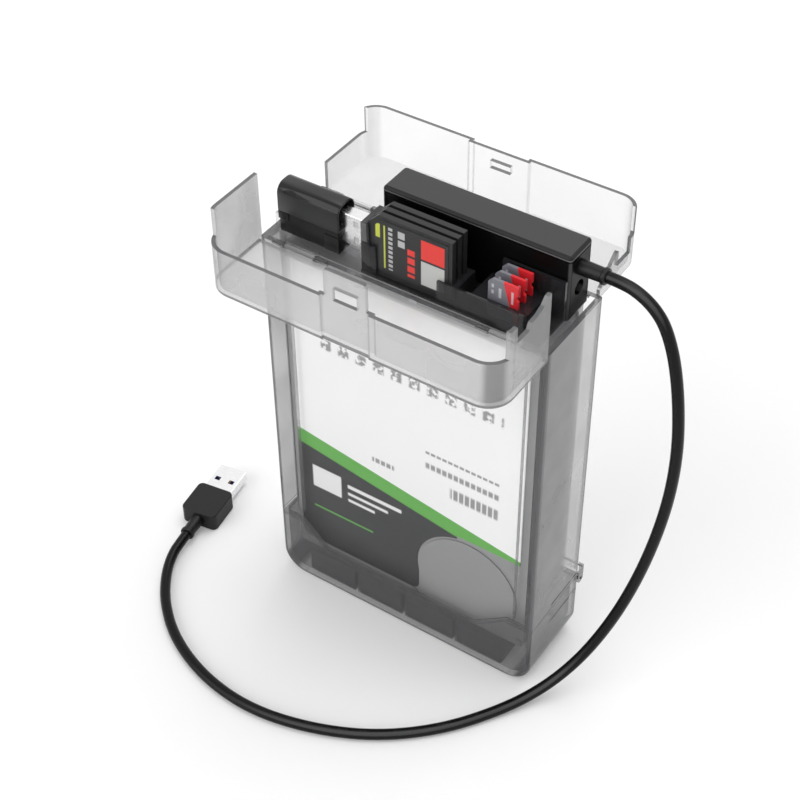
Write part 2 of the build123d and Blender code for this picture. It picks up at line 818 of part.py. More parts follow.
def drive_label():
    """The drive's label: a tall sheet with a stepped foot and a round bite."""
    bottom = drive_foot + label_bottom
    top = drive_foot + label_top
    face = -drive_depth / 2 + emboss_rise
    sheet = block((label_left, label_right), (face - label_thickness, face), (bottom, top))
    sheet -= block((label_step_x, label_right + 1), (face - 2, face + 1), (bottom - 1, drive_foot + label_panel_foot))
    sheet -= block((label_foot_x, label_right + 1), (face - 2, face + 1), (bottom - 1, drive_foot + label_foot))
    sheet -= rod_y(emboss_x, (face - 2, face + 1), drive_foot + emboss_height, emboss_radius)
    low_edges = sheet.edges().filter_by(Axis.Y).group_by(Axis.Z)[0]
    return fillet(low_edges, label_corner)


def cover_screws():
    """Six screw heads along the lower and upper edges of the drive's cover."""
    face = -drive_depth / 2 + emboss_rise
    heads = []
    for x in (-drive_width / 2 + screw_inset, label_step_x - 2.0, drive_width / 2 - screw_inset):
        for z in (drive_foot + screw_inset, drive_top - screw_inset):
            heads.append(rod_y(x, (face - cover_screw_height, face), z, cover_screw_radius))
    return Compound(children=heads)


def disc_stack():
    """The drive's discs on their hub, standing on the casting's floor."""
    front = -drive_depth / 2 + cover_thickness
    floor = front + disc_chamber_depth
    centre = drive_foot + disc_centre_height
    stack = rod_y(0, (front + 1.0, floor), centre, disc_hub_radius)
    for index in range(3):
        y = floor - 3.0 - index * disc_spacing
        stack += rod_y(0, (y - disc_thickness, y), centre, disc_radius)
    return stack


def drive_board():
    """The drive's circuit board on its back, under the port."""
    back = drive_depth / 2
    left = port_centre_x - port_width / 2 - board_left_over
    right = port_centre_x + port_width / 2 + board_right_over
    high = drive_top - board_head
    low = high - board_length
    board = block((left, right), (back - board_thickness, back), (low, high))
    board -= block((left - 1, left + board_step_width), (0, back + 1), (low - 1, low + board_step_height))
    return board


def adapter_box():
    """The adapter's outer form."""
    form = block((adapter_left, adapter_right), (adapter_front, adapter_back), (adapter_bottom, adapter_top))
    return fillet(form.edges(), adapter_edge_radius)


def adapter_hollow():
    """The space inside the adapter's walls."""
    wall = adapter_wall
    return block((adapter_left + wall, adapter_right - wall), (adapter_front + wall, adapter_back - wall),
                 (adapter_bottom + wall, adapter_top - wall))


def jack_place():
    """The power jack's block, behind the adapter's end wall."""
    z = adapter_bottom + jack_height
    half = jack_width / 2
    xs = (adapter_right - adapter_wall - jack_length, adapter_right - adapter_wall)
    return xs, (jack_y - half, jack_y + half), (z - half, z + half)


def adapter_housing():
    """The adapter's tub: open above for its cover, pierced for its connectors."""
    split = adapter_top - adapter_cover
    tub = adapter_box() & block((adapter_left - 1, adapter_right + 1), (adapter_front - 1, adapter_back + 1),
                                (adapter_bottom - 1, split))
    tub -= adapter_hollow()
    half = receptacle_width / 2
    tub -= block((port_centre_x - half - 0.1, port_centre_x + half + 0.1),
                 (port_centre_y - receptacle_depth - 0.1, port_centre_y + receptacle_depth + 0.1),
                 (adapter_bottom - 1, adapter_bottom + adapter_wall + 1))
    jack_z = adapter_bottom + jack_height
    tub -= rod_x((adapter_right - adapter_wall - 1, adapter_right + 1), jack_y, jack_z, jack_bore_radius)
    return tub - rod_x((adapter_right - adapter_wall - 1, adapter_right + 1), exit_y, exit_z, cable_radius + 0.1)


def adapter_cover_plate():
    """The adapter's top cover, set off by a shallow groove and located by a lip."""
    split = adapter_top - adapter_cover
    plate = adapter_box() & block((adapter_left - 1, adapter_right + 1), (adapter_front - 1, adapter_back + 1),
                                  (split, adapter_top + 1))
    plate -= adapter_hollow()
    ring = block((adapter_left - 1, adapter_right + 1), (adapter_front - 1, adapter_back + 1), (split, split + cover_groove))
    ring -= block((adapter_left + cover_groove, adapter_right - cover_groove),
                  (adapter_front + cover_groove, adapter_back - cover_groove), (split - 1, split + 2))
    plate -= ring
    wall = adapter_wall + 0.1
    lip = block((adapter_left + wall, adapter_right - wall), (adapter_front + wall, adapter_back - wall),
                (split - 1.2, adapter_top - adapter_wall + 0.2))
    lip -= block((adapter_left + wall + 0.8, adapter_right - wall - 0.8),
                 (adapter_front + wall + 0.8, adapter_back - wall - 0.8), (split - 2, adapter_top - adapter_wall))
    lip -= rod_x((adapter_right - 6, adapter_right), exit_y, exit_z, relief_radius + 0.3)
    return plate + lip


def adapter_board():
    """The adapter's upright circuit board, behind its receptacle."""
    y = port_centre_y - receptacle_depth - adapter_board_gap
    xs = (adapter_left + adapter_wall + 0.5, adapter_right - adapter_wall - jack_length - 0.5)
    return block(xs, (y, y + adapter_board_thickness), (adapter_bottom + adapter_wall + 0.1, adapter_top - 5.0))


def bridge_chip():
    """The bridge chip on the adapter's board."""
    y = port_centre_y - receptacle_depth - adapter_board_gap + adapter_board_thickness
    z = adapter_bottom + adapter_part_height
    half = chip_size / 2
    left = adapter_left + chip_from_left
    return block((left, left + chip_size), (y, y + chip_thickness), (z - half, z + half))


def board_parts():
    """Crystal, coil and capacitors on the adapter's board."""
    y = port_centre_y - receptacle_depth - adapter_board_gap + adapter_board_thickness
    z = adapter_bottom + adapter_part_height
    parts = []
    for from_left, width, height, thickness in adapter_board_spots:
        left = adapter_left + from_left
        parts.append(block((left, left + width), (y, y + thickness), (z - height / 2, z + height / 2)))
    return Compound(children=parts)


def sata_receptacle():
    """The adapter's receptacle, from its board down into the drive's port."""
    half = receptacle_width / 2
    xs = (port_centre_x - half, port_centre_x + half)
    ys = (port_centre_y - receptacle_depth, port_centre_y + receptacle_depth)
    shell = block(xs, ys, (drive_top - plug_in_depth, adapter_bottom + receptacle_root))
    room = 0.3
    shell -= block((port_centre_x - port_slot_width / 2 + 1.5 - room, port_centre_x + port_slot_width / 2 - 1.5 + room),
                   (port_centre_y + 0.5 - room, port_centre_y + 1.6 + room), (drive_top - plug_in_depth - 1, drive_top + 0.1))
    return shell


def dc_jack():
    """The power jack's block with its round mouth."""
    xs, ys, zs = jack_place()
    body = block(xs, ys, zs)
    jack_z = adapter_bottom + jack_height
    return body - rod_x((xs[1] - jack_bore_length, xs[1] + 1), jack_y, jack_z, jack_bore_radius)


def dc_jack_pin():
    """The power jack's centre pin."""
    xs, ys, zs = jack_place()
    jack_z = adapter_bottom + jack_height
    pin = rod_x((xs[1] - jack_bore_length, xs[1] + 0.4), jack_y, jack_z, jack_pin_radius)
    return fillet(pin.edges().sort_by(Axis.X)[-1], 0.4)


def relief(length):
    """A strain relief along +X from the origin, ending in a small bead."""
    taper = Pos(length / 2, 0, 0) * Rot(0, 90, 0) * Cone(relief_radius, relief_end_radius, length)
    bead = Pos(length - relief_bead_length / 2, 0, 0) * Rot(0, 90, 0) * Cylinder(relief_bead, relief_bead_length)
    bead = fillet(bead.edges(), 0.5)
    return taper + bead


def cable_strain_relief():
    """The strain relief on the adapter's end face."""
    return Pos(adapter_right, exit_y, exit_z) * relief(relief_length)


def plug_frame():
    """The USB plug's own frame: +Y towards its mouth, zero at the overmould's back."""
    return Pos(usb_x, usb_y, 0) * Rot(0, 0, usb_turn)


def plug_point(x, y, z):
    """A point of the plug's frame in the part's frame."""
    turn = math.radians(usb_turn)
    return (usb_x + x * math.cos(turn) - y * math.sin(turn), usb_y + x * math.sin(turn) + y * math.cos(turn), z)


def plug_strain_relief():
    """The strain relief on the USB plug's back."""
    middle = overmould_height / 2
    return plug_frame() * Pos(0, 0, middle) * Rot(0, 0, -90) * relief(plug_relief_length)


def usb_plug_overmould():
    """The USB plug's soft-cornered grip."""
    half = overmould_width / 2
    grip = block((-half, half), (0, overmould_length), (0, overmould_height))
    grip = fillet(grip.edges().filter_by(Axis.Z), overmould_radius)
    grip = fillet(grip.faces().sort_by(Axis.Z)[-1].edges() + grip.faces().sort_by(Axis.Z)[0].edges(), 0.6)
    middle = overmould_height / 2
    shell = block((-usb_shell_width / 2, usb_shell_width / 2), (overmould_length - usb_shell_grip, overmould_length + 1),
                  (middle - usb_shell_height / 2, middle + usb_shell_height / 2))
    return plug_frame() * (grip - shell)


def usb_plug_shell():
    """The plug's folded metal shell, with its two windows on each side."""
    middle = overmould_height / 2
    half_x = usb_shell_width / 2
    half_z = usb_shell_height / 2
    ys = (overmould_length - usb_shell_grip, overmould_length + usb_shell_length)
    shell = block((-half_x, half_x), ys, (middle - half_z, middle + half_z))
    shell = fillet(shell.edges().filter_by(Axis.Y), 0.4)
    wall = usb_shell_wall
    shell -= block((-half_x + wall, half_x - wall), (ys[0] - 1, ys[1] + 1), (middle - half_z + wall, middle + half_z - wall))
    for xs in both_ways(2.0, 4.3):
        window_y = overmould_length + 6.0
        shell -= block(xs, (window_y - 1.0, window_y + 1.0), (0, overmould_height))
    return plug_frame() * shell


def usb_plug_tongue():
    """The plug's plastic tongue, under its contacts."""
    middle = overmould_height / 2
    wall = usb_shell_wall
    half = usb_shell_width / 2 - wall
    low = middle - usb_shell_height / 2 + wall
    ys = (overmould_length - usb_shell_grip, overmould_length + usb_shell_length - 0.6)
    return plug_frame() * block((-half, half), ys, (low, low + usb_tongue_height))


def usb_plug_contacts():
    """Four flat contacts on the plug's tongue."""
    middle = overmould_height / 2
    low = middle - usb_shell_height / 2 + usb_shell_wall + usb_tongue_height
    row = []
    for x in (-3.5, -1.0, 1.0, 3.5):
        row.append(block((x - 0.5, x + 0.5), (overmould_length, overmould_length + usb_shell_length - 1.6), (low, low + 0.15)))
    return Compound(children=[plug_frame() * strip for strip in row])


def cable_route():
    """The lead's points, from the adapter's strain relief to the plug's."""
    start = (adapter_right + relief_length, exit_y, exit_z)
    last = plug_point(0, -plug_relief_length, overmould_height / 2)
    near = plug_point(0, -plug_relief_length - 5.0, overmould_height / 2)
    return [start, *route_points, near, last]


def corner_radii(points):
    """For each corner, an arc as large as its two runs allow."""
    radii = []
    for before, here, after in zip(points, points[1:], points[2:]):
        first = Vector(*here) - Vector(*before)
        second = Vector(*after) - Vector(*here)
        turn = math.radians(first.get_angle(second))
        radii.append(0.45 * min(first.length, second.length) / math.tan(turn / 2))
    return radii


def usb_cable():
    """The lead, as one tube of straight runs joined by arcs."""
    points = cable_route()
    radii = corner_radii(points)
    path = FilletPolyline(*points, radius=radii)
    runs = [(Vector(*b) - Vector(*a)).length for a, b in zip(points, points[1:])]
    turns = [
        (Vector(*b) - Vector(*a)).get_angle(Vector(*c) - Vector(*b)) for a, b, c in zip(points, points[1:], points[2:])
    ]
    print("cord radii", [round(radius, 1) for radius in radii])
    print("cord runs", [round(run, 1) for run in runs])
    print("cord turns", [round(turn) for turn in turns])
    section = Plane(path @ 0, z_dir=path % 0) * Circle(cable_radius)
    tube = sweep(section, path=path)
    print("cord length", round(path.length, 1), "volume share", round(tube.volume / (math.pi * cable_radius**2 * path.length), 4))
    return tube


def sd_card(index):
    """One full-size card standing on its long edge, with the lock's notch."""
    front = sd_front + index * sd_pitch
    low = rack_top
    right = sd_left + sd_length
    points = (
        (sd_left, low),
        (right, low),
        (right, low + sd_height),
        (sd_left + sd_cut, low + sd_height),
        (sd_left, low + sd_height - sd_cut),
    )
    card = front_prism(points, (front, front + sd_thickness))
    notch = (sd_left + lock_from_left - lock_play, sd_left + lock_from_left + lock_length + lock_travel + lock_play)
    card -= block(notch, (front + 0.5, front + sd_thickness - 0.5), (low - 1, low + lock_height + lock_play))
    return card


def sd_lock(index):
    """One card's write lock, at the left end of its notch."""
    front = sd_front + index * sd_pitch
    left = sd_left + lock_from_left
    ys = (front + 0.5 + lock_play, front + sd_thickness - 0.5 - lock_play)
    return block((left, left + lock_length), ys, (rack_top + 0.05, rack_top + lock_height))


def sd_label(index):
    """One card's label, on its front face."""
    front = sd_front + index * sd_pitch
    margin = sd_label_margin
    low = rack_top + margin + 1.2
    right = sd_left + sd_length - margin
    top = rack_top + sd_height - margin
    cut = sd_cut
    points = (
        (sd_left + margin + 1.2, low),
        (right, low),
        (right, top),
        (sd_left + margin + cut, top),
        (sd_left + margin + 1.2, top - cut + 1.2),
    )
    return front_prism(points, (front - sd_label_thickness, front))


def micro_card(index):
    """One micro card, upright, with its cut corner and side nick."""
    front = micro_front + index * micro_pitch
    low = rack_top
    right = micro_left + micro_width
    points = (
        (micro_left, low),
        (right, low),
        (right, low + 0.62 * micro_height),
        (right - 0.7, low + 0.66 * micro_height),
        (right - 0.7, low + 0.74 * micro_height),
        (right, low + 0.78 * micro_height),
        (right, low + micro_height),
        (micro_left + micro_cut, low + micro_height),
        (micro_left, low + micro_height - micro_cut),
    )
    return front_prism(points, (front, front + micro_thickness))


def stick_profile_room():
    """X and Y of the memory stick's housing."""
    return (stick_left, stick_left + stick_length), (stick_front, stick_front + stick_thickness)


def stick_housing():
    """The memory stick's housing, round along its top."""
    xs, ys = stick_profile_room()
    low = tray_top + stick_rise
    body = block(xs, ys, (low, low + stick_height))
    top_edges = body.edges().filter_by(Axis.X).group_by(Axis.Z)[-1]
    body = fillet(top_edges, stick_top_radius)
    mid = stick_front + stick_thickness / 2
    z = low + stick_height / 2
    grip = block((xs[1] - 2.5, xs[1] + 1), (mid - usb_shell_height / 2, mid + usb_shell_height / 2),
                 (z - usb_shell_width / 2, z + usb_shell_width / 2))
    return body - grip


def stick_plug_shell():
    """The memory stick's metal plug shell, standing on edge."""
    xs, ys = stick_profile_room()
    mid = stick_front + stick_thickness / 2
    z = tray_top + stick_rise + stick_height / 2
    span = (xs[1] - 2.5, xs[1] + stick_plug_length)
    shell = block(span, (mid - usb_shell_height / 2, mid + usb_shell_height / 2),
                  (z - usb_shell_width / 2, z + usb_shell_width / 2))
    shell = fillet(shell.edges().filter_by(Axis.X), 0.4)
    wall = stick_plug_wall
    shell -= block((span[0] - 1, span[1] + 1), (mid - usb_shell_height / 2 + wall, mid + usb_shell_height / 2 - wall),
                   (z - usb_shell_width / 2 + wall, z + usb_shell_width / 2 - wall))
    for zs in ((z - 4.3, z - 2.0), (z + 2.0, z + 4.3)):
        shell -= block((xs[1] + 4.4, xs[1] + 6.4), (mid - 4, mid + 4), zs)
    return shell


def stick_tongue():
    """The memory stick's plug tongue."""
    xs, ys = stick_profile_room()
    mid = stick_front + stick_thickness / 2
    z = tray_top + stick_rise + stick_height / 2
    wall = stick_plug_wall
    y_low = mid - usb_shell_height / 2 + wall
    return block((xs[1] - 2.5, xs[1] + stick_plug_length - 0.6), (y_low, y_low + usb_tongue_height),
                 (z - usb_shell_width / 2 + wall, z + usb_shell_width / 2 - wall))


def main():
    """Builds and saves every piece."""
    os.makedirs("parts", exist_ok=True)
    save(case_body(), "case_body")
    save(end_cap(), "end_cap")
    save(hinge_pin(), "end_cap_hinge_pin")
    save(shock_pads(), "shock_pads")
    save(top_deck(), "top_deck")
    save(card_rack(), "card_rack")
    save(front_lid(), "front_lid")
    save(rear_lid(), "rear_lid")
    save(lid_pins(-1), "front_lid_pins")
    save(lid_pins(1), "rear_lid_pins")
    save(drive_base(), "drive_base")
    save(drive_cover(), "drive_cover")
    save(drive_label(), "drive_label")
    save(cover_screws(), "drive_cover_screws")
    save(disc_stack(), "drive_disc_stack")
    save(drive_board(), "drive_circuit_board")
    save(drive_sata_port(), "drive_sata_port")
    save(contact_row(port_centre_y + 0.4, (drive_top - plug_in_depth, drive_top - 0.6), 0.1), "drive_port_contacts")
    save(adapter_housing(), "adapter_housing")
    save(adapter_cover_plate(), "adapter_top_cover")
    save(adapter_board(), "adapter_circuit_board")
    save(bridge_chip(), "bridge_chip")
    save(board_parts(), "adapter_board_parts")
    save(sata_receptacle(), "sata_receptacle")
    save(dc_jack(), "dc_jack")
    save(dc_jack_pin(), "dc_jack_pin")
    save(cable_strain_relief(), "cable_strain_relief")
    save(usb_cable(), "usb_cable")
    save(plug_strain_relief(), "plug_strain_relief")
    save(usb_plug_overmould(), "usb_plug_overmould")
    save(usb_plug_shell(), "usb_plug_shell")
    save(usb_plug_tongue(), "usb_plug_tongue")
    save(usb_plug_contacts(), "usb_plug_contacts")
    for index in range(sd_count):
        save(sd_card(index), f"sd_card_{index + 1}")
        save(sd_lock(index), f"sd_lock_{index + 1}")
        save(sd_label(index), f"sd_label_{index + 1}")
    for index in range(micro_count):
        save(micro_card(index), f"micro_card_{index + 1}")
    save(stick_housing(), "stick_housing")
    save(stick_plug_shell(), "stick_plug_shell")
    save(stick_tongue(), "stick_tongue")
    print("hinges, Y and Z: lids", round(lid_hinge_y, 3), lid_hinge_height, "cap", cap_hinge_y, cap_hinge_height, "middle", middle_y)


main()
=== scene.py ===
"""Looks of a clear drive box with its lids, stored cards and plugged-in adapter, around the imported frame."""
import logging
import math
from dataclasses import dataclass
from enum import Enum
from functools import cached_property, reduce
from typing import Iterable, Sequence, Union

import bmesh
import bpy
from mathutils import Matrix, Vector


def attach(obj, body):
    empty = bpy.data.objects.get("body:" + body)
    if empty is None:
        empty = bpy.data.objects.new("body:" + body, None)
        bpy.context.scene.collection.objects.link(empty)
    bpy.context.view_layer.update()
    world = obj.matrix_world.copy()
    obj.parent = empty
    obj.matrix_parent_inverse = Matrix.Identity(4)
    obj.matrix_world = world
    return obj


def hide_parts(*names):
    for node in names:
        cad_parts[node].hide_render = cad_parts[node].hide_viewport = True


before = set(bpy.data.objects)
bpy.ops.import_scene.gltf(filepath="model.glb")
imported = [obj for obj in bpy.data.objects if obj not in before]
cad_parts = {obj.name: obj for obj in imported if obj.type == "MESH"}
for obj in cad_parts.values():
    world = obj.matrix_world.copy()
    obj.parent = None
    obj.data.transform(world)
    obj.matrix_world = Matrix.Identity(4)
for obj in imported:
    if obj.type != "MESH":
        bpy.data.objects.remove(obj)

log = logging.getLogger("drive_box_kit")

# Sizes are in millimetres until they reach a mesh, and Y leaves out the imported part's shift of MIDDLE_Y.
MM = 0.001
MIDDLE_Y = 0.75
# The range of a noise in which most of its swells lie.
SWELLS = (0.3, 0.7)
GOLD = (0.9, 0.62, 0.25)

Socket = bpy.types.NodeSocket
Value = Union[float, Sequence[float], Socket]
Span = tuple[float, float]
Point = tuple[float, float, float]
Colour = Point
Mark = Union[tuple[Span, Span], tuple[Span, Span, float]]
Marks = tuple[Mark, ...]
Form = bmesh.types.BMesh
Material = bpy.types.Material


class Body(Enum):
    """The bodies that pieces ride on."""

    CASE = "case"
    ADAPTER = "adapter"
    STICK = "memory_stick"
    CARD_1 = "sd_card_1"
    CARD_2 = "sd_card_2"
    CARD_3 = "sd_card_3"


class Step(Enum):
    """Sums that a material can work out."""

    ADD = "ADD"
    TAKE = "SUBTRACT"
    TIMES = "MULTIPLY"
    SHARE = "DIVIDE"
    LEAST = "MINIMUM"
    MOST = "MAXIMUM"
    POWER = "POWER"
    REPEAT = "FRACT"
    SIZE = "ABSOLUTE"


class Bench:
    """Lays out the nodes of one material, with places in millimetres."""

    def __init__(self, name: str) -> None:
        """Starts a material with one main shader.

        Args:
            name: the material's name.
        """
        self.material = bpy.data.materials.new(name)
        self.material.use_nodes = True
        self.nodes = self.material.node_tree.nodes
        self.links = self.material.node_tree.links
        self.nodes.clear()
        self.shader = self.add("BsdfPrincipled")
        output = self.add("OutputMaterial")
        self.links.new(self.shader.outputs["BSDF"], output.inputs["Surface"])
        coords = self.add("TexCoord")
        scaled = self.add("VectorMath")
        scaled.operation = "SCALE"
        scaled.inputs["Scale"].default_value = 1.0 / MM
        self.links.new(coords.outputs["Object"], scaled.inputs[0])
        self.place = scaled.outputs["Vector"]
        parts = self.add("SeparateXYZ")
        self.links.new(self.place, parts.inputs["Vector"])
        self.x, self.y, self.z = parts.outputs

    def add(self, kind: str) -> bpy.types.Node:
        """Adds one node."""
        return self.nodes.new(f"ShaderNode{kind}")

    def feed(self, socket: Socket, value: Value) -> None:
        """Gives a socket a link, a number or a colour.

        Args:
            socket: the input to fill.
            value: another socket, a number, or the three parts of a colour.
        """
        if isinstance(value, bpy.types.NodeSocket):
            self.links.new(value, socket)
        elif isinstance(value, (int, float)):
            socket.default_value = float(value)
        else:
            socket.default_value = (*value, 1.0)

    def set(self, name: str, value: Value) -> None:
        """Fills one input of the main shader."""
        self.feed(self.shader.inputs[name], value)

    def paint(self, colour: Value) -> None:
        """Gives the main shader its colour."""
        self.set("Base Color", colour)

    def sum(self, step: Step, first: Value, second: Value = 0.0) -> Socket:
        """Works out one sum.

        Args:
            step: which sum.
            first: its first value.
            second: its second value, where it has one.

        Returns:
            The result's socket.
        """
        node = self.add("Math")
        node.operation = step.value
        self.feed(node.inputs[0], first)
        self.feed(node.inputs[1], second)
        return node.outputs[0]

    def times(self, first: Value, second: Value) -> Socket:
        """Multiplies two values."""
        return self.sum(Step.TIMES, first, second)

    def most(self, first: Value, second: Value) -> Socket:
        """The higher of two values."""
        return self.sum(Step.MOST, first, second)

    def either(self, masks: Iterable[Value]) -> Value:
        """The highest of several masks."""
        return reduce(self.most, masks)

    def ramp(self, value: Value, low: float, high: float, start: float = 0.0, end: float = 1.0) -> Socket:
        """Maps one range of a value onto another, and holds it beyond both ends.

        Args:
            value: the value to map.
            low: where its range starts.
            high: where its range ends.
            start: the result at the start.
            end: the result at the end.

        Returns:
            The result's socket.
        """
        node = self.add("MapRange")
        self.feed(node.inputs["Value"], value)
        for name, number in (("From Min", low), ("From Max", high), ("To Min", start), ("To Max", end)):
            node.inputs[name].default_value = number
        return node.outputs["Result"]

    def band(self, value: Value, low: float, high: float, soft: float = 0.12) -> Socket:
        """One between low and high, and nothing outside them."""
        above = self.ramp(value, low - soft, low + soft)
        return self.times(above, self.ramp(value, high - soft, high + soft, 1.0, 0.0))

    def patch(self, across: Span, up: Span, soft: float = 0.12) -> Socket:
        """One inside a rectangle of X and Z, and nothing outside it."""
        return self.times(self.band(self.x, *across, soft), self.band(self.z, *up, soft))

    def patches(self, marks: Marks) -> Value:
        """One inside any of several rectangles, and nothing outside them."""
        return self.either([self.patch(*mark) for mark in marks])

    def repeat(self, value: Value, rate: float) -> Socket:
        """Counts from nought to one again and again along a value."""
        return self.sum(Step.REPEAT, self.times(value, rate))

    def noise(self, scale: float, detail: float = 3.0, stretch: Point = (1.0, 1.0, 1.0)) -> Socket:
        """Noise in the piece's own place.

        Args:
            scale: how many swells there are to a millimetre.
            detail: how many finer layers it has.
            stretch: how much finer it is along each axis.

        Returns:
            The noise's socket, from nought to one.
        """
        moved = self.add("Mapping")
        moved.inputs["Scale"].default_value = stretch
        self.links.new(self.place, moved.inputs["Vector"])
        node = self.add("TexNoise")
        node.inputs["Scale"].default_value = scale
        node.inputs["Detail"].default_value = detail
        self.links.new(moved.outputs["Vector"], node.inputs["Vector"])
        return node.outputs["Fac"]

    def tint(self, share: Value, under: Value, over: Value, kind: str = "RGBA") -> Socket:
        """Lays one colour or number over another.

        Args:
            share: how much of the upper one shows, from nought to one.
            under: the lower one.
            over: the upper one.
            kind: what they are, in the node's own word.

        Returns:
            The result's socket.
        """
        node = self.add("Mix")
        node.data_type = kind
        for name, value in (("Factor", share), ("A", under), ("B", over)):
            self.feed(node.inputs[name], value)
        return node.outputs["Result"]

    @cached_property
    def turned(self) -> dict[str, Socket]:
        """How far the surface faces along each axis, from nought to one.

        Returns:
            One socket for each axis, one for faces that look straight up, and one for rounded edges.
        """
        coords = self.add("TexCoord")
        parts = self.add("SeparateXYZ")
        self.links.new(coords.outputs["Normal"], parts.inputs["Vector"])
        sizes = {axis: self.sum(Step.SIZE, part) for axis, part in zip("xyz", parts.outputs)}
        edge = self.ramp(self.either(sizes.values()), 0.88, 0.98, 1.0, 0.0)
        return {**sizes, "up": parts.outputs[2], "edge": edge}

    def facing(self) -> Socket:
        """How far the surface turns away from the eye.

        Returns:
            The socket, from nought to one.
        """
        node = self.add("LayerWeight")
        node.inputs["Blend"].default_value = 0.5
        return node.outputs["Facing"]

    def grain(self, height: Value, depth: float) -> None:
        """Raises the surface in fine relief.

        Args:
            height: where it is raised, from nought to one.
            depth: how far one raises it, in millimetres.
        """
        node = self.add("Bump")
        node.inputs["Distance"].default_value = depth * MM
        self.feed(node.inputs["Height"], height)
        self.links.new(node.outputs["Normal"], self.shader.inputs["Normal"])

    def surface(self, fine: Socket, rough: Span, depth: float, shine: float = 0.5) -> None:
        """Sets how rough and shiny the surface is, with a fine grain.

        Args:
            fine: the noise that the grain follows.
            rough: the roughness in its dips and on its swells.
            depth: the grain's height, in millimetres.
            shine: how strong its reflections are.
        """
        self.set("Roughness", self.ramp(fine, *SWELLS, *rough))
        self.set("Specular IOR Level", shine)
        self.grain(fine, depth)


def shade(colour: Sequence[float], by: float) -> tuple[float, ...]:
    """A lighter or darker form of a colour."""
    return tuple(min(1.0, part * by) for part in colour)


@dataclass(frozen=True)
class Finish:
    """A finish, made into one material."""

    name: str

    def lay(self, bench: Bench) -> None:
        """Lays out the nodes; each kind of finish has its own.

        Args:
            bench: the new material.
        """
        raise NotImplementedError

    def make(self) -> Material:
        """Builds the material.

        Returns:
            The finished material.
        """
        bench = Bench(self.name)
        self.lay(bench)
        return bench.material


@dataclass(frozen=True)
class Moulded(Finish):
    """Moulded plastic or rubber with a fine grain."""

    colour: Colour
    roughness: float = 0.4
    shine: float = 0.5
    grain: float = 6.0
    depth: float = 0.01
    unevenness: float = 0.08

    def lay(self, bench: Bench) -> None:
        """Lays out the nodes.

        Args:
            bench: the new material.
        """
        light = shade(self.colour, 1 + self.unevenness)
        dark = shade(self.colour, 1 - self.unevenness)
        bench.paint(bench.tint(bench.noise(0.12, 2.0), dark, light))
        rough = (self.roughness - 0.05, self.roughness + 0.07)
        bench.surface(bench.noise(self.grain), rough, self.depth, self.shine)


@dataclass(frozen=True)
class PolishedCase(Finish):
    """Polished black plastic with a painted highlight on its rounded edges."""

    colour: Colour = (0.003, 0.003, 0.003)
    edge_highlight: Colour = (0.06, 0.06, 0.061)
    rough: Span = (0.26, 0.36)
    shine: float = 0.08

    def lay(self, bench: Bench) -> None:
        """Lays out the nodes on the new material's bench."""
        # Rounded edges get a lighter colour as a painted highlight.
        bench.paint(bench.tint(bench.turned["edge"], self.colour, self.edge_highlight))
        bench.surface(bench.noise(7.0), self.rough, 0.004, self.shine)


@dataclass(frozen=True)
class AdapterTop(Finish):
    """The adapter's satin top, ringed with black as painted shade on its rounded edges, with a thin painted
    highlight line under it.
    """

    name: str = "adapter_top"
    colour: Colour = (0.048, 0.048, 0.049)
    # The black ring and the light line are painted shade and a painted highlight.
    shaded_border: Colour = (0.004, 0.004, 0.004)
    line: Colour = (0.13, 0.13, 0.132)
    across: Span = (-17.7, 50.9)
    along: Span = (3.1, 15.3)
    highlight_height: Span = (185.65, 186.05)

    def lay(self, bench: Bench) -> None:
        """Lays out the nodes.

        Args:
            bench: the new material.
        """
        inside = bench.times(bench.band(bench.x, *self.across), bench.band(bench.y, *self.along))
        # Outside the flat top: painted shade, crossed by a thin painted highlight line.
        shade_and_highlight = bench.tint(bench.band(bench.z, *self.highlight_height, 0.05), self.shaded_border, self.line)
        bench.paint(bench.tint(inside, shade_and_highlight, self.colour))
        bench.surface(bench.noise(7.0), (0.45, 0.55), 0.01, 0.3)


@dataclass(frozen=True)
class LeadJacket(Finish):
    """The lead's black jacket, with a painted highlight along its middle."""

    name: str = "lead_jacket"
    colour: Colour = (0.0015, 0.0015, 0.0015)
    painted_highlight: Colour = (0.06, 0.06, 0.061)
    highlight_width: Span = (0.01, 0.12)

    def lay(self, bench: Bench) -> None:
        """Lays out the nodes.

        Args:
            bench: the new material.
        """
        # A painted highlight where the lead faces the eye, dark towards its sides.
        middle = bench.ramp(bench.facing(), *self.highlight_width, 1.0, 0.0)
        bench.paint(bench.tint(middle, self.colour, self.painted_highlight))
        bench.surface(bench.noise(5.0), (0.22, 0.34), 0.003, 0.18)


@dataclass(frozen=True)
class StickShell(Finish):
    """The memory stick's shell: a satin hood over a darker tub, with glossy rounded edges that take the tub's
    dark as painted shade.
    """

    name: str = "stick_shell"
    hood: Colour = (0.022, 0.022, 0.023)
    tub: Colour = (0.003, 0.003, 0.003)
    split: float = 172.4
    edge_roughness: float = 0.12

    def lay(self, bench: Bench) -> None:
        """Lays out the nodes.

        Args:
            bench: the new material.
        """
        above = bench.ramp(bench.z, self.split - 0.1, self.split + 0.1)
        shaded_edges = bench.turned["edge"]
        # Rounded edges take the tub's dark colour as painted shade.
        bench.paint(bench.tint(shaded_edges, bench.tint(above, self.tub, self.hood), self.tub))
        fine = bench.noise(5.0)
        satin = bench.ramp(fine, *SWELLS, 0.32, 0.42)
        bench.set("Roughness", bench.tint(shaded_edges, satin, self.edge_roughness, "FLOAT"))
        bench.set("Specular IOR Level", 0.35)
        bench.grain(fine, 0.004)


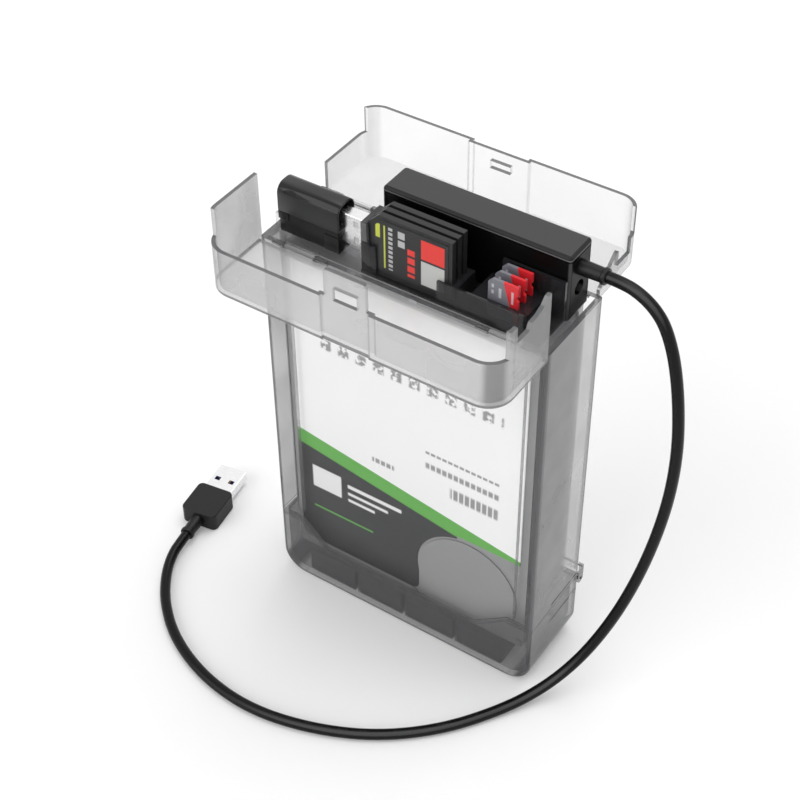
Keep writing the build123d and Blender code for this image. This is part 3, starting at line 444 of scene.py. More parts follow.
@dataclass(frozen=True)
class BareMetal(Finish):
    """Metal with the fine lines of its rolling or turning."""

    colour: Colour
    roughness: float = 0.3
    metallic: float = 1.0
    lines: Point = (1.0, 1.0, 14.0)
    depth: float = 0.004

    def lay(self, bench: Bench) -> None:
        """Lays out the nodes.

        Args:
            bench: the new material.
        """
        streaks = bench.noise(0.35, 4.0, self.lines)
        bench.paint(bench.tint(streaks, shade(self.colour, 0.9), shade(self.colour, 1.06)))
        bench.set("Metallic", self.metallic)
        bench.set("Roughness", bench.ramp(streaks, 0.25, 0.75, self.roughness - 0.06, self.roughness + 0.08))
        bench.grain(streaks, self.depth)


@dataclass(frozen=True)
class ClearPlastic(Finish):
    """See-through plastic: a pale veil on its faces, and dark painted shade at outlines, rims and wall ends.
    """

    colour: Colour = (0.3, 0.305, 0.31)
    level_colour: Colour = (0.3, 0.305, 0.31)
    left_shade: float = 1.0
    left_reach: Span = (-54.0, -22.0)
    # The colour of the painted shade, which the dark joins share.
    dark: Colour = (0.085, 0.085, 0.09)
    upright_veil: float = 0.05
    side_veil: float = 0.05
    level_veil: float = 0.1
    # How strong the painted shade is on rounded edges, at glancing angles, on the rim, on bands and on the
    # front.
    edge_veil: float = 0.55
    glance_veil: float = 0.85
    glance_power: float = 4.0
    rim_from: float = 1000.0
    rim_veil: float = 0.7
    end_bands: tuple[tuple[str, float, float], ...] = ()
    band_veil: float = 0.4
    low_band: Span = (-1000.0, -1000.0)
    front_shade: float = 0.0
    slant_from: float = 1000.0
    roughness: float = 0.06
    lets_light: float = 0.1
    bend: float = 1.49

    def lamps(self, bench: Bench) -> Socket:
        """The share of the veil that rays which only carry light meet.

        Args:
            bench: the plastic's material.

        Returns:
            One for rays that look, and less for rays that light.
        """
        path = bench.add("LightPath")
        lit = bench.most(path.outputs["Is Shadow Ray"], path.outputs["Is Diffuse Ray"])
        return bench.ramp(lit, 0.0, 1.0, 1.0, 1.0 - self.lets_light)

    def upright(self, bench: Bench) -> Socket:
        """One on walls, and nothing on level faces."""
        return bench.ramp(bench.turned["z"], 0.3, 0.6, 1.0, 0.0)

    def joins(self, bench: Bench) -> Value:
        """Where two pieces of plastic meet in a dark line; a plain wall has none."""
        return 0.0

    def outlines(self, bench: Bench) -> list[Value]:
        """Where the plastic takes dark painted shade, and its dark joins.

        Args:
            bench: the plastic's material.

        Returns:
            The masks of painted shade where the face turns away, on rounded edges, the front, the rim, the
            foot and wall ends, and of joins.
        """
        slants = bench.ramp(bench.z, self.slant_from, self.slant_from + 1.0, 1.0, 0.0)
        fronts = bench.ramp(bench.turned["y"], 0.1, 0.3)
        rounded = bench.times(bench.turned["edge"], bench.most(slants, fronts))
        top = bench.ramp(bench.z, self.rim_from, self.rim_from + 0.05)
        rim = bench.times(bench.ramp(bench.turned["up"], 0.6, 0.8), top)
        low = bench.times(bench.band(bench.z, *self.low_band, 0.1), self.upright(bench))
        masks = [
            bench.times(bench.sum(Step.POWER, bench.facing(), self.glance_power), self.glance_veil),
            bench.times(rounded, self.edge_veil),
            bench.ramp(bench.turned["y"], 0.7, 0.9, 0.0, self.front_shade),
            bench.times(rim, self.rim_veil),
            bench.times(low, self.band_veil),
            self.joins(bench),
        ]
        places = {"x": (bench.x, bench.turned["y"]), "y": (bench.y, bench.turned["x"])}
        for axis, middle, reach in self.end_bands:
            place, across = places[axis]
            away = bench.sum(Step.SIZE, bench.sum(Step.TAKE, place, middle))
            band = bench.times(bench.ramp(away, reach - 0.15, reach + 0.15), bench.ramp(across, 0.7, 0.9))
            masks.append(bench.times(band, self.band_veil))
        return masks

    def lay(self, bench: Bench) -> None:
        """Lays out the nodes.

        Args:
            bench: the new material.
        """
        haze = bench.noise(0.05, 2.0)
        level = bench.ramp(bench.turned["z"], 0.6, 0.9)
        side = bench.ramp(bench.turned["x"], 0.3, 0.8, self.upright_veil, self.side_veil)
        face = bench.tint(level, side, self.level_veil, "FLOAT")
        face = bench.times(face, bench.ramp(haze, *SWELLS, 0.85, 1.15))
        # Painted shade at the outlines, rims, foot and wall ends, with the dark joins.
        dark = bench.either(self.outlines(bench))
        both = bench.sum(Step.ADD, face, bench.times(dark, bench.sum(Step.TAKE, 1.0, face)))
        # Level faces take painted shade towards the left.
        rightward = bench.ramp(bench.x, *self.left_reach)
        floor = bench.tint(rightward, shade(self.level_colour, self.left_shade), self.level_colour)
        pale = bench.tint(level, self.colour, floor)
        bench.paint(bench.tint(bench.sum(Step.SHARE, dark, both), pale, self.dark))
        bench.set("Alpha", bench.times(bench.sum(Step.LEAST, both, 1.0), self.lamps(bench)))
        bench.set("Roughness", bench.ramp(haze, *SWELLS, self.roughness * 0.7, self.roughness * 1.4))
        bench.set("IOR", self.bend)


@dataclass(frozen=True)
class SeamedPlastic(ClearPlastic):
    """The box's clear plastic, with the dark seam between the sleeve and its end cap."""

    seam: float = 30.0
    dip: float = 10.6
    left_slope: Span = (-46.0, -35.0)
    right_slope: Span = (31.0, 45.0)
    half_line: float = 0.4
    line_veil: float = 0.85

    def joins(self, bench: Bench) -> Value:
        """The seam, level all round and dipping under the tongue on the front.

        Args:
            bench: the plastic's material.

        Returns:
            The seam's mask.
        """
        tongue = bench.sum(Step.LEAST, bench.ramp(bench.x, *self.left_slope),
                           bench.ramp(bench.x, *self.right_slope, 1.0, 0.0))
        depth = bench.times(bench.times(tongue, bench.ramp(bench.y, -1.0, 1.0, 1.0, 0.0)), self.dip)
        away = bench.sum(Step.SIZE, bench.sum(Step.TAKE, bench.sum(Step.ADD, bench.z, depth), self.seam))
        line = bench.ramp(away, self.half_line, self.half_line + 0.2, self.line_veil, 0.0)
        return bench.times(line, self.upright(bench))


@dataclass(frozen=True)
class DriveLabel(Finish):
    """The drive's printed label: white, with a dark panel under a slanted green stripe, and plain marks."""

    name: str = "drive_label_print"
    white: Colour = (0.96, 0.96, 0.96)
    panel: Colour = (0.03, 0.03, 0.032)
    green: Colour = (0.12, 0.42, 0.07)
    ink: Colour = (0.2, 0.2, 0.2)
    panel_height: float = 60.0
    slope: float = 0.17
    stripe: float = 7.0
    soft: float = 0.15
    shapes: Mark = ((-38.0, 38.5), (119.2, 124.0), 0.4)
    shape_pitch: float = 7.4
    shape_start: float = -60.0
    bars: Marks = (
        ((-15.5, -6.0), (75.2, 77.4), 0.4),
        ((7.5, 38.0), (91.4, 92.6), 0.3),
        ((7.5, 38.0), (84.4, 87.0), 0.5),
        ((18.0, 37.8), (74.6, 79.6), 0.6),
    )
    bar_rate: float = 0.42
    plates: Marks = (
        ((-43.0, -30.0), (47.6, 58.6), 0.3),
        ((-27.0, -3.0), (54.6, 56.4), 0.3),
        ((-27.0, -9.0), (51.0, 52.4), 0.3),
        ((-27.0, -15.0), (47.6, 49.0), 0.3),
    )
    green_line: Mark = ((-43.0, -16.0), (36.6, 37.4), 0.25)

    def below(self, bench: Bench, height: float) -> Socket:
        """Marks what lies below a slanted line.

        Args:
            bench: the label's material.
            height: how high the line crosses the label's middle, in millimetres.

        Returns:
            The mask's socket.
        """
        drop = bench.times(bench.x, self.slope)
        depth = bench.sum(Step.TAKE, bench.sum(Step.TAKE, height, drop), bench.z)
        return bench.ramp(depth, -self.soft, self.soft)

    def marks(self, bench: Bench) -> Socket:
        """Grey marks on the white: a row of small plain shapes and a few plain bars.

        Args:
            bench: the label's material.

        Returns:
            The mask's socket.
        """
        blots = bench.ramp(bench.noise(0.5, 1.0), 0.4, 0.54)
        cells = bench.repeat(bench.sum(Step.TAKE, bench.x, self.shape_start), 1 / self.shape_pitch)
        row = bench.times(bench.band(cells, 0.2, 0.8, 0.05), bench.patch(*self.shapes))
        words = bench.band(bench.repeat(bench.x, self.bar_rate), 0.1, 0.86, 0.08)
        return bench.most(bench.times(row, blots), bench.times(bench.patches(self.bars), words))

    def lay(self, bench: Bench) -> None:
        """Lays out the nodes.

        Args:
            bench: the new material.
        """
        paper = bench.tint(bench.noise(0.5), shade(self.white, 0.985), self.white)
        colour = bench.tint(bench.times(self.marks(bench), 0.85), paper, self.ink)
        colour = bench.tint(self.below(bench, self.panel_height + self.stripe), colour, self.green)
        colour = bench.tint(self.below(bench, self.panel_height), colour, self.panel)
        colour = bench.tint(bench.patch(*self.green_line), colour, self.green)
        bench.paint(bench.tint(bench.patches(self.plates), colour, shade(self.white, 0.9)))
        bench.surface(bench.noise(1.5), (0.42, 0.48), 0.001)


@dataclass(frozen=True)
class CardLabel(Finish):
    """A full-size card's print: dark, with a red block over a silver block and thin lines."""

    name: str = "card_print"
    dark: Colour = (0.014, 0.014, 0.015)
    silver: Colour = (0.55, 0.56, 0.54)
    red: Colour = (0.8, 0.04, 0.03)
    yellow: Colour = (0.55, 0.6, 0.06)
    ink: Colour = (0.6, 0.6, 0.6)
    silver_block: Mark = ((6.4, 15.2), (167.4, 176.8))
    red_block: Mark = ((6.4, 15.2), (177.6, 185.2))
    yellow_marks: Marks = (((-7.9, -7.3), (168.0, 185.0)), ((-11.0, -9.3), (179.6, 185.0)))
    tick_column: Mark = ((-6.1, -4.5), (168.0, 185.0))
    tick_rate: float = 0.55
    squares: Marks = (((-2.4, 0.2), (182.2, 184.9)), ((-2.4, 0.2), (178.9, 181.4)))
    bar_column: Mark = ((1.2, 4.0), (168.4, 179.4))
    bar_rate: float = 0.3

    def lay(self, bench: Bench) -> None:
        """Lays out the nodes.

        Args:
            bench: the new material.
        """
        colour: Value = self.dark
        colour = bench.tint(bench.patch(*self.silver_block), colour, self.silver)
        colour = bench.tint(bench.patch(*self.red_block), colour, self.red)
        colour = bench.tint(bench.patches(self.yellow_marks), colour, self.yellow)
        ticks = bench.band(bench.repeat(bench.z, self.tick_rate), 0.1, 0.72, 0.05)
        pale = bench.most(bench.times(ticks, bench.patch(*self.tick_column)), bench.patches(self.squares))
        colour = bench.tint(bench.times(pale, 0.8), colour, self.ink)
        bars = bench.band(bench.repeat(bench.z, self.bar_rate), 0.12, 0.86, 0.04)
        colour = bench.tint(bench.times(bars, bench.patch(*self.bar_column)), colour, self.red)
        bench.paint(colour)
        bench.surface(bench.noise(5.0), (0.34, 0.44), 0.004)


@dataclass(frozen=True)
class MicroPrint(Finish):
    """A micro card's print: grey and red, split by a slanted edge."""

    name: str = "micro_card_print"
    grey: Colour = (0.2, 0.2, 0.23)
    red: Colour = (0.72, 0.02, 0.03)
    ink: Colour = (0.7, 0.7, 0.72)
    split: Span = (36.3, 36.5)
    split_height: float = 176.0
    slope: float = 0.3
    marks: Marks = (
        ((31.2, 32.0), (173.4, 174.8)),
        ((31.2, 32.0), (175.8, 177.2)),
        ((33.8, 34.8), (172.6, 176.4)),
        ((38.4, 39.2), (172.0, 176.8)),
    )

    def lay(self, bench: Bench) -> None:
        """Lays out the nodes.

        Args:
            bench: the new material.
        """
        slant = bench.times(bench.sum(Step.TAKE, bench.z, self.split_height), self.slope)
        red_side = bench.ramp(bench.sum(Step.ADD, bench.x, slant), *self.split)
        colour = bench.tint(red_side, self.grey, self.red)
        bench.paint(bench.tint(bench.times(bench.patches(self.marks), 0.7), colour, self.ink))
        bench.surface(bench.noise(6.0), (0.35, 0.45), 0.004)


@dataclass(frozen=True)
class Board(Finish):
    """A lacquered circuit board with its copper tracks showing through."""

    name: str = "board_lacquer"
    lacquer: Colour = (0.01, 0.09, 0.045)
    track: Colour = (0.03, 0.2, 0.09)
    cell_scale: float = 0.45

    def lay(self, bench: Bench) -> None:
        """Lays out the nodes.

        Args:
            bench: the new material.
        """
        cells = bench.add("TexVoronoi")
        cells.distance = "MANHATTAN"
        cells.inputs["Scale"].default_value = self.cell_scale
        bench.links.new(bench.place, cells.inputs["Vector"])
        tracks = bench.band(cells.outputs["Distance"], 0.42, 0.5, 0.03)
        bench.paint(bench.tint(tracks, self.lacquer, self.track))
        bench.set("Roughness", bench.ramp(bench.noise(2.0), *SWELLS, 0.22, 0.32))
        bench.grain(tracks, 0.02)


def show(name: str, data: bpy.types.ID) -> bpy.types.Object:
    """Makes an object at the origin and puts it in the scene.

    Args:
        name: its name.
        data: its mesh, curve, lamp or camera.

    Returns:
        The new object.
    """
    made = bpy.data.objects.new(name, data)
    bpy.context.scene.collection.objects.link(made)
    return made


def dress(finish: Finish, *names: str) -> None:
    """Gives CAD nodes their finish.

    Args:
        finish: the finish, which they share.
        names: the nodes' names.
    """
    material = finish.make()
    for name in names:
        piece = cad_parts[name]
        if not piece.material_slots:
            piece.data.materials.append(material)
        for slot in piece.material_slots:
            slot.material = material
        log.info("%s: %s", name, material.name)


def cube(form: Form, x: Span, y: Span, z: Span) -> list[bmesh.types.BMVert]:
    """Adds a box to a form.

    Args:
        form: the form to add to.
        x: its ends along X, in millimetres.
        y: its ends along Y.
        z: its ends along Z.

    Returns:
        The box's corners.
    """
    middle = Vector(((x[0] + x[1]) / 2, (y[0] + y[1]) / 2, (z[0] + z[1]) / 2)) * MM
    size = Matrix.Diagonal(((x[1] - x[0]) * MM, (y[1] - y[0]) * MM, (z[1] - z[0]) * MM, 1.0))
    made = bmesh.ops.create_cube(form, size=1.0, matrix=Matrix.Translation(middle) @ size)
    return made["verts"]


def drum(form: Form, foot: Sequence[float], radius: float, length: float) -> None:
    """Adds a round drum along Y to a form.

    Args:
        form: the form to add to.
        foot: the middle of its front end, in millimetres.
        radius: its radius.
        length: its length along Y.
    """
    x, y, z = foot
    turn = Matrix.Rotation(math.radians(90), 4, "X")
    place = Matrix.Translation(Vector((x, y + length / 2, z)) * MM) @ turn
    bmesh.ops.create_cone(
        form, cap_ends=True, segments=48, radius1=radius * MM, radius2=radius * MM, depth=length * MM,
        matrix=place,
    )


def soften(form: Form, edges: Iterable[bmesh.types.BMEdge], width: float, segments: int = 2) -> None:
    """Rounds edges of a form.

    Args:
        form: the form.
        edges: the edges to round.
        width: how far the rounding reaches, in millimetres.
        segments: how many steps it has.
    """
    bmesh.ops.bevel(
        form, geom=list(edges), offset=width * MM, segments=segments, profile=0.5, affect="EDGES",
        material=-1, clamp_overlap=True,
    )


def sharp_edges(form: Form, least: float = 60.0) -> list[bmesh.types.BMEdge]:
    """The edges of a form that fold by more than this many degrees."""
    return [edge for edge in form.edges if edge.calc_face_angle(0.0) > math.radians(least)]


def finish_piece(
    form: Form, name: str, material: Material, body: Body
) -> bpy.types.Object:
    """Makes an object of a form and sets it on its body.

    Args:
        form: the form, in the part's own place.
        name: the object's name.
        material: its finish.
        body: the body that it rides on.

    Returns:
        The new object.
    """
    bmesh.ops.recalc_face_normals(form, faces=form.faces)
    mesh = bpy.data.meshes.new(name)
    form.to_mesh(mesh)
    form.free()
    mesh.materials.append(material)
    mesh.shade_smooth()
    mesh.set_sharp_from_angle(angle=math.radians(35))
    piece = show(name, mesh)
    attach(piece, body.value)
    log.info("%s: %d faces", name, len(mesh.polygons))
    return piece


@dataclass
class Studio:
    """The pale floor, the soft light and the camera at the photograph's place."""

    camera_place: Point = (245.45, -376.59, 517.25)
    azimuth: float = 34.33
    elevation: float = 42.65
    roll: float = -0.65
    lens: float = 78.19
    sensor_width: float = 36.0
    floor_radius: float = 4.0
    floor_colour: float = 0.9
    floor_glow: float = 0.09
    sky_light: float = 0.58
    key_power: float = 1.15
    key_spread: float = 44.0
    key_from: Point = (0.12, 0.3, 1.0)
    fill_power: float = 1.25
    fill_spread: float = 60.0
    fill_from: Point = (-0.45, -1.0, 0.55)
    clear_layers: int = 32

    def place_camera(self) -> None:
        """Sets the camera where the photograph was taken from."""
        turn, tilt, lean = (math.radians(angle) for angle in (self.azimuth, self.elevation, self.roll))
        forward = Vector((-math.sin(turn) * math.cos(tilt), math.cos(turn) * math.cos(tilt), -math.sin(tilt)))
        right = Vector((math.cos(turn), math.sin(turn), 0.0))
        up = right.cross(forward)
        leaned_right = right * math.cos(lean) + up * math.sin(lean)
        leaned_up = up * math.cos(lean) - right * math.sin(lean)
        data = bpy.data.cameras.new("camera")
        data.lens = self.lens
        data.sensor_width = self.sensor_width
        data.sensor_fit = "HORIZONTAL"
        data.clip_start = 0.01
        data.clip_end = 50.0
        camera = show("camera", data)
        x, y, z = self.camera_place
        rows = Matrix((leaned_right, leaned_up, -forward)).transposed().to_4x4()
        camera.matrix_world = Matrix.Translation(Vector((x, y + MIDDLE_Y, z)) * MM) @ rows
        bpy.context.scene.camera = camera

    def seen(self, nodes: bpy.types.Nodes, links: bpy.types.NodeLinks) -> Socket:
        """One for rays that look, reflect or pass through, and nothing for rays that light.

        Args:
            nodes: the node list to add to.
            links: its links.

        Returns:
            The socket that tells them apart.
        """
        path = nodes.new("ShaderNodeLightPath")
        share = path.outputs["Is Camera Ray"]
        for kind in ("Is Glossy Ray", "Is Transmission Ray"):
            either = nodes.new("ShaderNodeMath")
            either.operation = "MAXIMUM"
            links.new(share, either.inputs[0])
            links.new(path.outputs[kind], either.inputs[1])
            share = either.outputs[0]
        return share

    def light_sky(self) -> None:
        """Makes the white surroundings, dimmer as a light than they look."""
        world = bpy.data.worlds.new("surroundings")
        world.use_nodes = True
        nodes, links = world.node_tree.nodes, world.node_tree.links
        nodes.clear()
        level = nodes.new("ShaderNodeMapRange")
        level.inputs["To Min"].default_value = self.sky_light
        links.new(self.seen(nodes, links), level.inputs["Value"])
        sky = nodes.new("ShaderNodeBackground")
        sky.inputs["Color"].default_value = (1.0, 1.0, 1.0, 1.0)
        links.new(level.outputs["Result"], sky.inputs["Strength"])
        output = nodes.new("ShaderNodeOutputWorld")
        links.new(sky.outputs[0], output.inputs["Surface"])
        bpy.context.scene.world = world

    def hang_softbox(self, name: str, power: float, spread: float, source: Sequence[float]) -> None:
        """Adds one wide soft light.

        Args:
            name: its name.
            power: how strong it is.
            spread: how wide it looks from the part, in degrees.
            source: the direction that it comes from.
        """
        data = bpy.data.lights.new(name, "SUN")
        data.energy = power
        data.angle = math.radians(spread)
        show(name, data).rotation_euler = Vector(source).to_track_quat("Z", "Y").to_euler()

    def floor_paper(self) -> Material:
        """Makes the floor's matte white, which glows a little to the eye.

        Returns:
            The finished material.
        """
        material = bpy.data.materials.new("floor_paper")
        material.use_nodes = True
        nodes, links = material.node_tree.nodes, material.node_tree.links
        nodes.clear()
        matte = nodes.new("ShaderNodeBsdfDiffuse")
        matte.inputs["Color"].default_value = (self.floor_colour,) * 3 + (1.0,)
        glow = nodes.new("ShaderNodeEmission")
        scale = nodes.new("ShaderNodeMath")
        scale.operation = "MULTIPLY"
        scale.inputs[1].default_value = self.floor_glow
        links.new(self.seen(nodes, links), scale.inputs[0])
        links.new(scale.outputs[0], glow.inputs["Strength"])
        both = nodes.new("ShaderNodeAddShader")
        links.new(matte.outputs[0], both.inputs[0])
        links.new(glow.outputs[0], both.inputs[1])
        output = nodes.new("ShaderNodeOutputMaterial")
        links.new(both.outputs[0], output.inputs["Surface"])
        return material

    def lay_floor(self) -> None:
        """Lays the pale floor, which keeps the object's shadow."""
        form = bmesh.new()
        bmesh.ops.create_circle(form, cap_ends=True, segments=96, radius=self.floor_radius)
        mesh = bpy.data.meshes.new("floor")
        form.to_mesh(mesh)
        form.free()
        mesh.materials.append(self.floor_paper())
        floor = show("floor", mesh)

    def build(self) -> None:
        """Sets up the whole studio."""
        scene = bpy.context.scene
        scene.view_settings.view_transform = "Standard"
        scene.cycles.transparent_max_bounces = self.clear_layers
        self.place_camera()
        self.light_sky()
        self.hang_softbox("key_softbox", self.key_power, self.key_spread, self.key_from)
        self.hang_softbox("fill_softbox", self.fill_power, self.fill_spread, self.fill_from)
        self.lay_floor()


@dataclass
class UsbLead:
    """The lead from the adapter to its plug, with its strain reliefs."""

    exit: Point = (61.5, 7.8, 180.0)
    diameter: float = 4.1
    length: float = 414.4
    route: tuple[Point, ...] = (
        (67.7, 7.8, 180.0), (73.6, 7.8, 178.1), (78.7, 7.9, 174.5), (82.9, 8.0, 168.9),
        (87.0, 8.3, 157.0), (90.1, 8.6, 139.5), (91.9, 8.6, 119.5), (91.4, 8.0, 98.0),
        (88.5, 6.6, 75.0), (84.0, 4.0, 52.5), (78.3, -0.2, 32.5), (71.3, -7.4, 15.5),
        (63.4, -18.4, 5.2), (54.5, -33.5, 2.1), (40.5, -53.5, 2.1), (21.5, -69.5, 2.1),
        (-1.0, -79.6, 2.1), (-24.0, -84.2, 2.1), (-46.5, -81.6, 2.1), (-66.8, -73.4, 2.1),
        (-81.4, -61.8, 2.1), (-90.2, -50.5, 2.4), (-94.3, -41.5, 3.3), (-95.35, -34.94, 4.0),
        (-96.09, -30.0, 4.0),
    )
    carried: tuple[str, ...] = (
        "cable_strain_relief", "plug_strain_relief", "usb_plug_overmould", "usb_plug_shell",
        "usb_plug_tongue", "usb_plug_contacts",
    )

    def points(self) -> list[Vector]:
        """The route's points from the adapter to the plug, in metres."""
        return [Vector((x, y + MIDDLE_Y, z)) * MM for x, y, z in (self.exit, *self.route)]

    def run_cord(self) -> None:
        data = bpy.data.curves.new("usb_lead", "CURVE")
        data.dimensions = "3D"
        spline = data.splines.new("NURBS")
        points = self.points()
        spline.points.add(len(points) - 1)
        for knot, place in zip(spline.points, points):
            knot.co = (*place, 1.0)
        spline.order_u = 3
        spline.use_endpoint_u = True
        spline.resolution_u = 10
        data.bevel_depth = self.diameter / 2 * MM
        data.bevel_resolution = 6
        data.use_fill_caps = True
        data.materials.append(LeadJacket().make())
        lead = show("usb_lead", data)
        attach(lead, Body.ADAPTER.value)
        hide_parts("usb_cable")

    def build(self) -> None:
        """Makes the lead and finishes what is on it."""
        self.run_cord()
        rubber = Moulded("relief_rubber", (0.004, 0.004, 0.004), 0.36, shine=0.28)
        dress(rubber, "cable_strain_relief", "plug_strain_relief")
        grip = Moulded("plug_grip", (0.011, 0.011, 0.0115), 0.46, shine=0.25, grain=7.0, depth=0.02)
        dress(grip, "usb_plug_overmould")
        plated = BareMetal("plug_plating", (0.86, 0.86, 0.87), 0.24, lines=(1.0, 12.0, 1.0), depth=0.003)
        dress(plated, "usb_plug_shell", "stick_plug_shell")
        dress(Moulded("plug_tongue_blue", (0.02, 0.06, 0.4)), "usb_plug_tongue")
        dress(BareMetal("plug_gold", GOLD, 0.22), "usb_plug_contacts")


@dataclass
class ClearBox:
    """The clear box: its sleeve, end cap, lids, deck, rack, pads and pins."""

    case_rim: float = 162.9
    lid_rim: float = 165.0
    lid_floor: Span = (160.8, 162.3)
    rear_lid_reach: float = 53.0
    deck_rim: float = 164.5
    rack_rim: float = 165.0
    cap_rim: float = 17.5
    cap_floor: Span = (-1.0, 2.0)
    inner_half_width: float = 54.0
    inner_half_depth: float = 15.5

    def walls(self) -> tuple[tuple[str, float, float], ...]:
        """The axis, middle and inner reach of each pair of the box's walls, which are seen end on."""
        return (("x", 0.0, self.inner_half_width), ("y", MIDDLE_Y, self.inner_half_depth))

    def dress_box(self) -> None:
        """Finishes the sleeve and its end cap."""
        # Both take painted shade at their outlines, rims and wall ends, besides the real seam.
        dress(SeamedPlastic(
            "clear_sleeve", (0.385, 0.385, 0.39), upright_veil=0.02, side_veil=0.62, edge_veil=0.85,
            rim_from=self.case_rim, rim_veil=0.75, end_bands=self.walls(), band_veil=0.55, slant_from=-5.0,
        ), "case_body")
        # The end cap's front and the band at its floor carry painted shade.
        dress(SeamedPlastic(
            "clear_end_cap", (0.25, 0.25, 0.255), upright_veil=0.1, side_veil=0.58, edge_veil=0.85,
            rim_from=self.cap_rim, rim_veil=0.3, end_bands=self.walls(), band_veil=0.62,
            low_band=self.cap_floor, front_shade=0.3, slant_from=16.0,
        ), "end_cap")

    def dress_lids(self) -> None:
        """Finishes the two lids."""
        # The front lid's floor band is painted shade, and its level faces darken towards the left as painted
        # shade.
        dress(ClearPlastic(
            "clear_front_lid", (0.5, 0.5, 0.505), (0.95, 0.95, 0.95), left_shade=0.6, upright_veil=0.4,
            side_veil=0.42, level_veil=0.4, edge_veil=0.42, rim_from=self.lid_rim, rim_veil=0.9,
            low_band=self.lid_floor, band_veil=0.75, lets_light=0.15,
        ), "front_lid")
        # The rear lid's wall ends are painted shade.
        dress(ClearPlastic(
            "clear_rear_lid", (0.75, 0.75, 0.755), (0.72, 0.72, 0.725), upright_veil=0.1, side_veil=0.2,
            level_veil=0.3, edge_veil=0.05, glance_veil=0.95, rim_from=self.lid_rim, rim_veil=0.9,
            end_bands=(("x", 0.0, self.rear_lid_reach),), band_veil=0.75, lets_light=0.15,
        ), "rear_lid")

    def build(self) -> None:
        """Finishes every piece of the box."""
        self.dress_box()
        self.dress_lids()
        # The deck and the rack take painted shade on their rims.
        deck = ClearPlastic(
            "clear_deck", upright_veil=0.2, level_veil=0.16, rim_from=self.deck_rim, rim_veil=0.4,
        )
        dress(deck, "top_deck")
        smoke = (0.02, 0.02, 0.022)
        dress(ClearPlastic(
            "smoke_rack", smoke, smoke, dark=smoke, upright_veil=0.68, side_veil=0.6, level_veil=0.7,
            rim_from=self.rack_rim, rim_veil=0.85,
        ), "card_rack")
        # The pads in the end cap are coloured near black as painted shade under the drive.
        dress(Moulded("pad_rubber", (0.013, 0.013, 0.0135), 0.6, shine=0.3, grain=3.0), "shock_pads")
        steel = BareMetal("hinge_steel", (0.6, 0.6, 0.6), 0.25, lines=(0.2, 6.0, 6.0))
        dress(steel, "end_cap_hinge_pin", "front_lid_pins", "rear_lid_pins")


@dataclass
class DriveUnit:
    """The hard drive that stands in the box."""

    board_back: float = 13.05
    base_back: float = 11.5
    chips: tuple[tuple[float, ...], ...] = (
        (6.0, 120.0, 14.0, 14.0, 1.2), (24.0, 112.0, 8.0, 13.0, 1.0), (34.0, 128.0, 6.0, 8.0, 1.1),
        (12.0, 100.0, 7.0, 7.0, 0.9), (28.0, 94.0, 10.0, 6.0, 1.0), (38.0, 101.0, 3.2, 5.0, 0.8),
    )
    # The spindle's X and Z, and then the radius and length of what is round it.
    spindle: Span = (-18.0, 60.0)
    plate: Span = (16.0, 0.6)
    hub: Span = (7.0, 1.2)
    screw: Span = (1.3, 1.1)
    screw_circle: float = 12.0
    screws: int = 6

    def board_parts(self, material: Material) -> None:
        """Adds chips to the circuit board on the drive's back.

        Args:
            material: the chips' finish.
        """
        form = bmesh.new()
        back = self.board_back + MIDDLE_Y
        for x, z, width, height, proud in self.chips:
            cube(form, (x - width / 2, x + width / 2), (back, back + proud), (z - height / 2, z + height / 2))
        soften(form, form.edges[:], 0.15)
        finish_piece(form, "drive_board_chips", material, Body.CASE)

    def spindle_plate(self, material: Material) -> None:
        """Adds the round plate and screws behind the drive's spindle.

        Args:
            material: the plate's finish.
        """
        form = bmesh.new()
        x, z = self.spindle
        back = self.base_back + MIDDLE_Y
        drum(form, (x, back, z), *self.plate)
        drum(form, (x, back, z), *self.hub)
        for index in range(self.screws):
            turn = math.tau * index / self.screws
            across, up = self.screw_circle * math.cos(turn), self.screw_circle * math.sin(turn)
            drum(form, (x + across, back, z + up), *self.screw)
        soften(form, sharp_edges(form), 0.2)
        finish_piece(form, "drive_spindle_plate", material, Body.CASE)

    def build(self) -> None:
        """Finishes the drive and adds what its back carries."""
        even = (1.0, 1.0, 1.0)
        dress(BareMetal("drive_casting", (0.42, 0.42, 0.43), 0.5, 0.85, even, 0.02), "drive_base")
        sheet = BareMetal("drive_sheet", (0.33, 0.33, 0.335), 0.5, 0.35, (1.0, 1.0, 8.0), 0.006)
        dress(sheet, "drive_cover")
        dress(DriveLabel(), "drive_label")
        dress(BareMetal("screw_steel", (0.4, 0.4, 0.41), 0.32), "drive_cover_screws")
        dress(BareMetal("disc_mirror", (0.85, 0.85, 0.86), 0.08, lines=(3.0, 1.0, 3.0)), "drive_disc_stack")
        dress(Board(), "drive_circuit_board")
        dress(Moulded("port_black", (0.012, 0.012, 0.012), 0.45), "drive_sata_port")
        dress(BareMetal("port_gold", GOLD, 0.25), "drive_port_contacts")
        self.board_parts(Moulded("drive_chip_black", (0.012, 0.012, 0.013), 0.5, shine=0.4, grain=8.0).make())
        self.spindle_plate(BareMetal("spindle_steel", (0.55, 0.55, 0.56), lines=(2.0, 1.0, 2.0)).make())


@dataclass
class AdapterUnit:
    """The adapter that stands in the box, over the drive's port."""

    def build(self) -> None:
        """Finishes the adapter."""
        dress(PolishedCase("adapter_black"), "adapter_housing")
        dress(AdapterTop(), "adapter_top_cover")
        dress(Board("adapter_lacquer"), "adapter_circuit_board")
        chip = Moulded("adapter_chip", (0.014, 0.014, 0.014), 0.5)
        dress(chip, "bridge_chip", "adapter_board_parts")
        dress(Moulded("socket_black", (0.012, 0.012, 0.012), 0.45), "sata_receptacle", "dc_jack")
        dress(BareMetal("jack_pin_nickel", (0.75, 0.74, 0.7), 0.2), "dc_jack_pin")


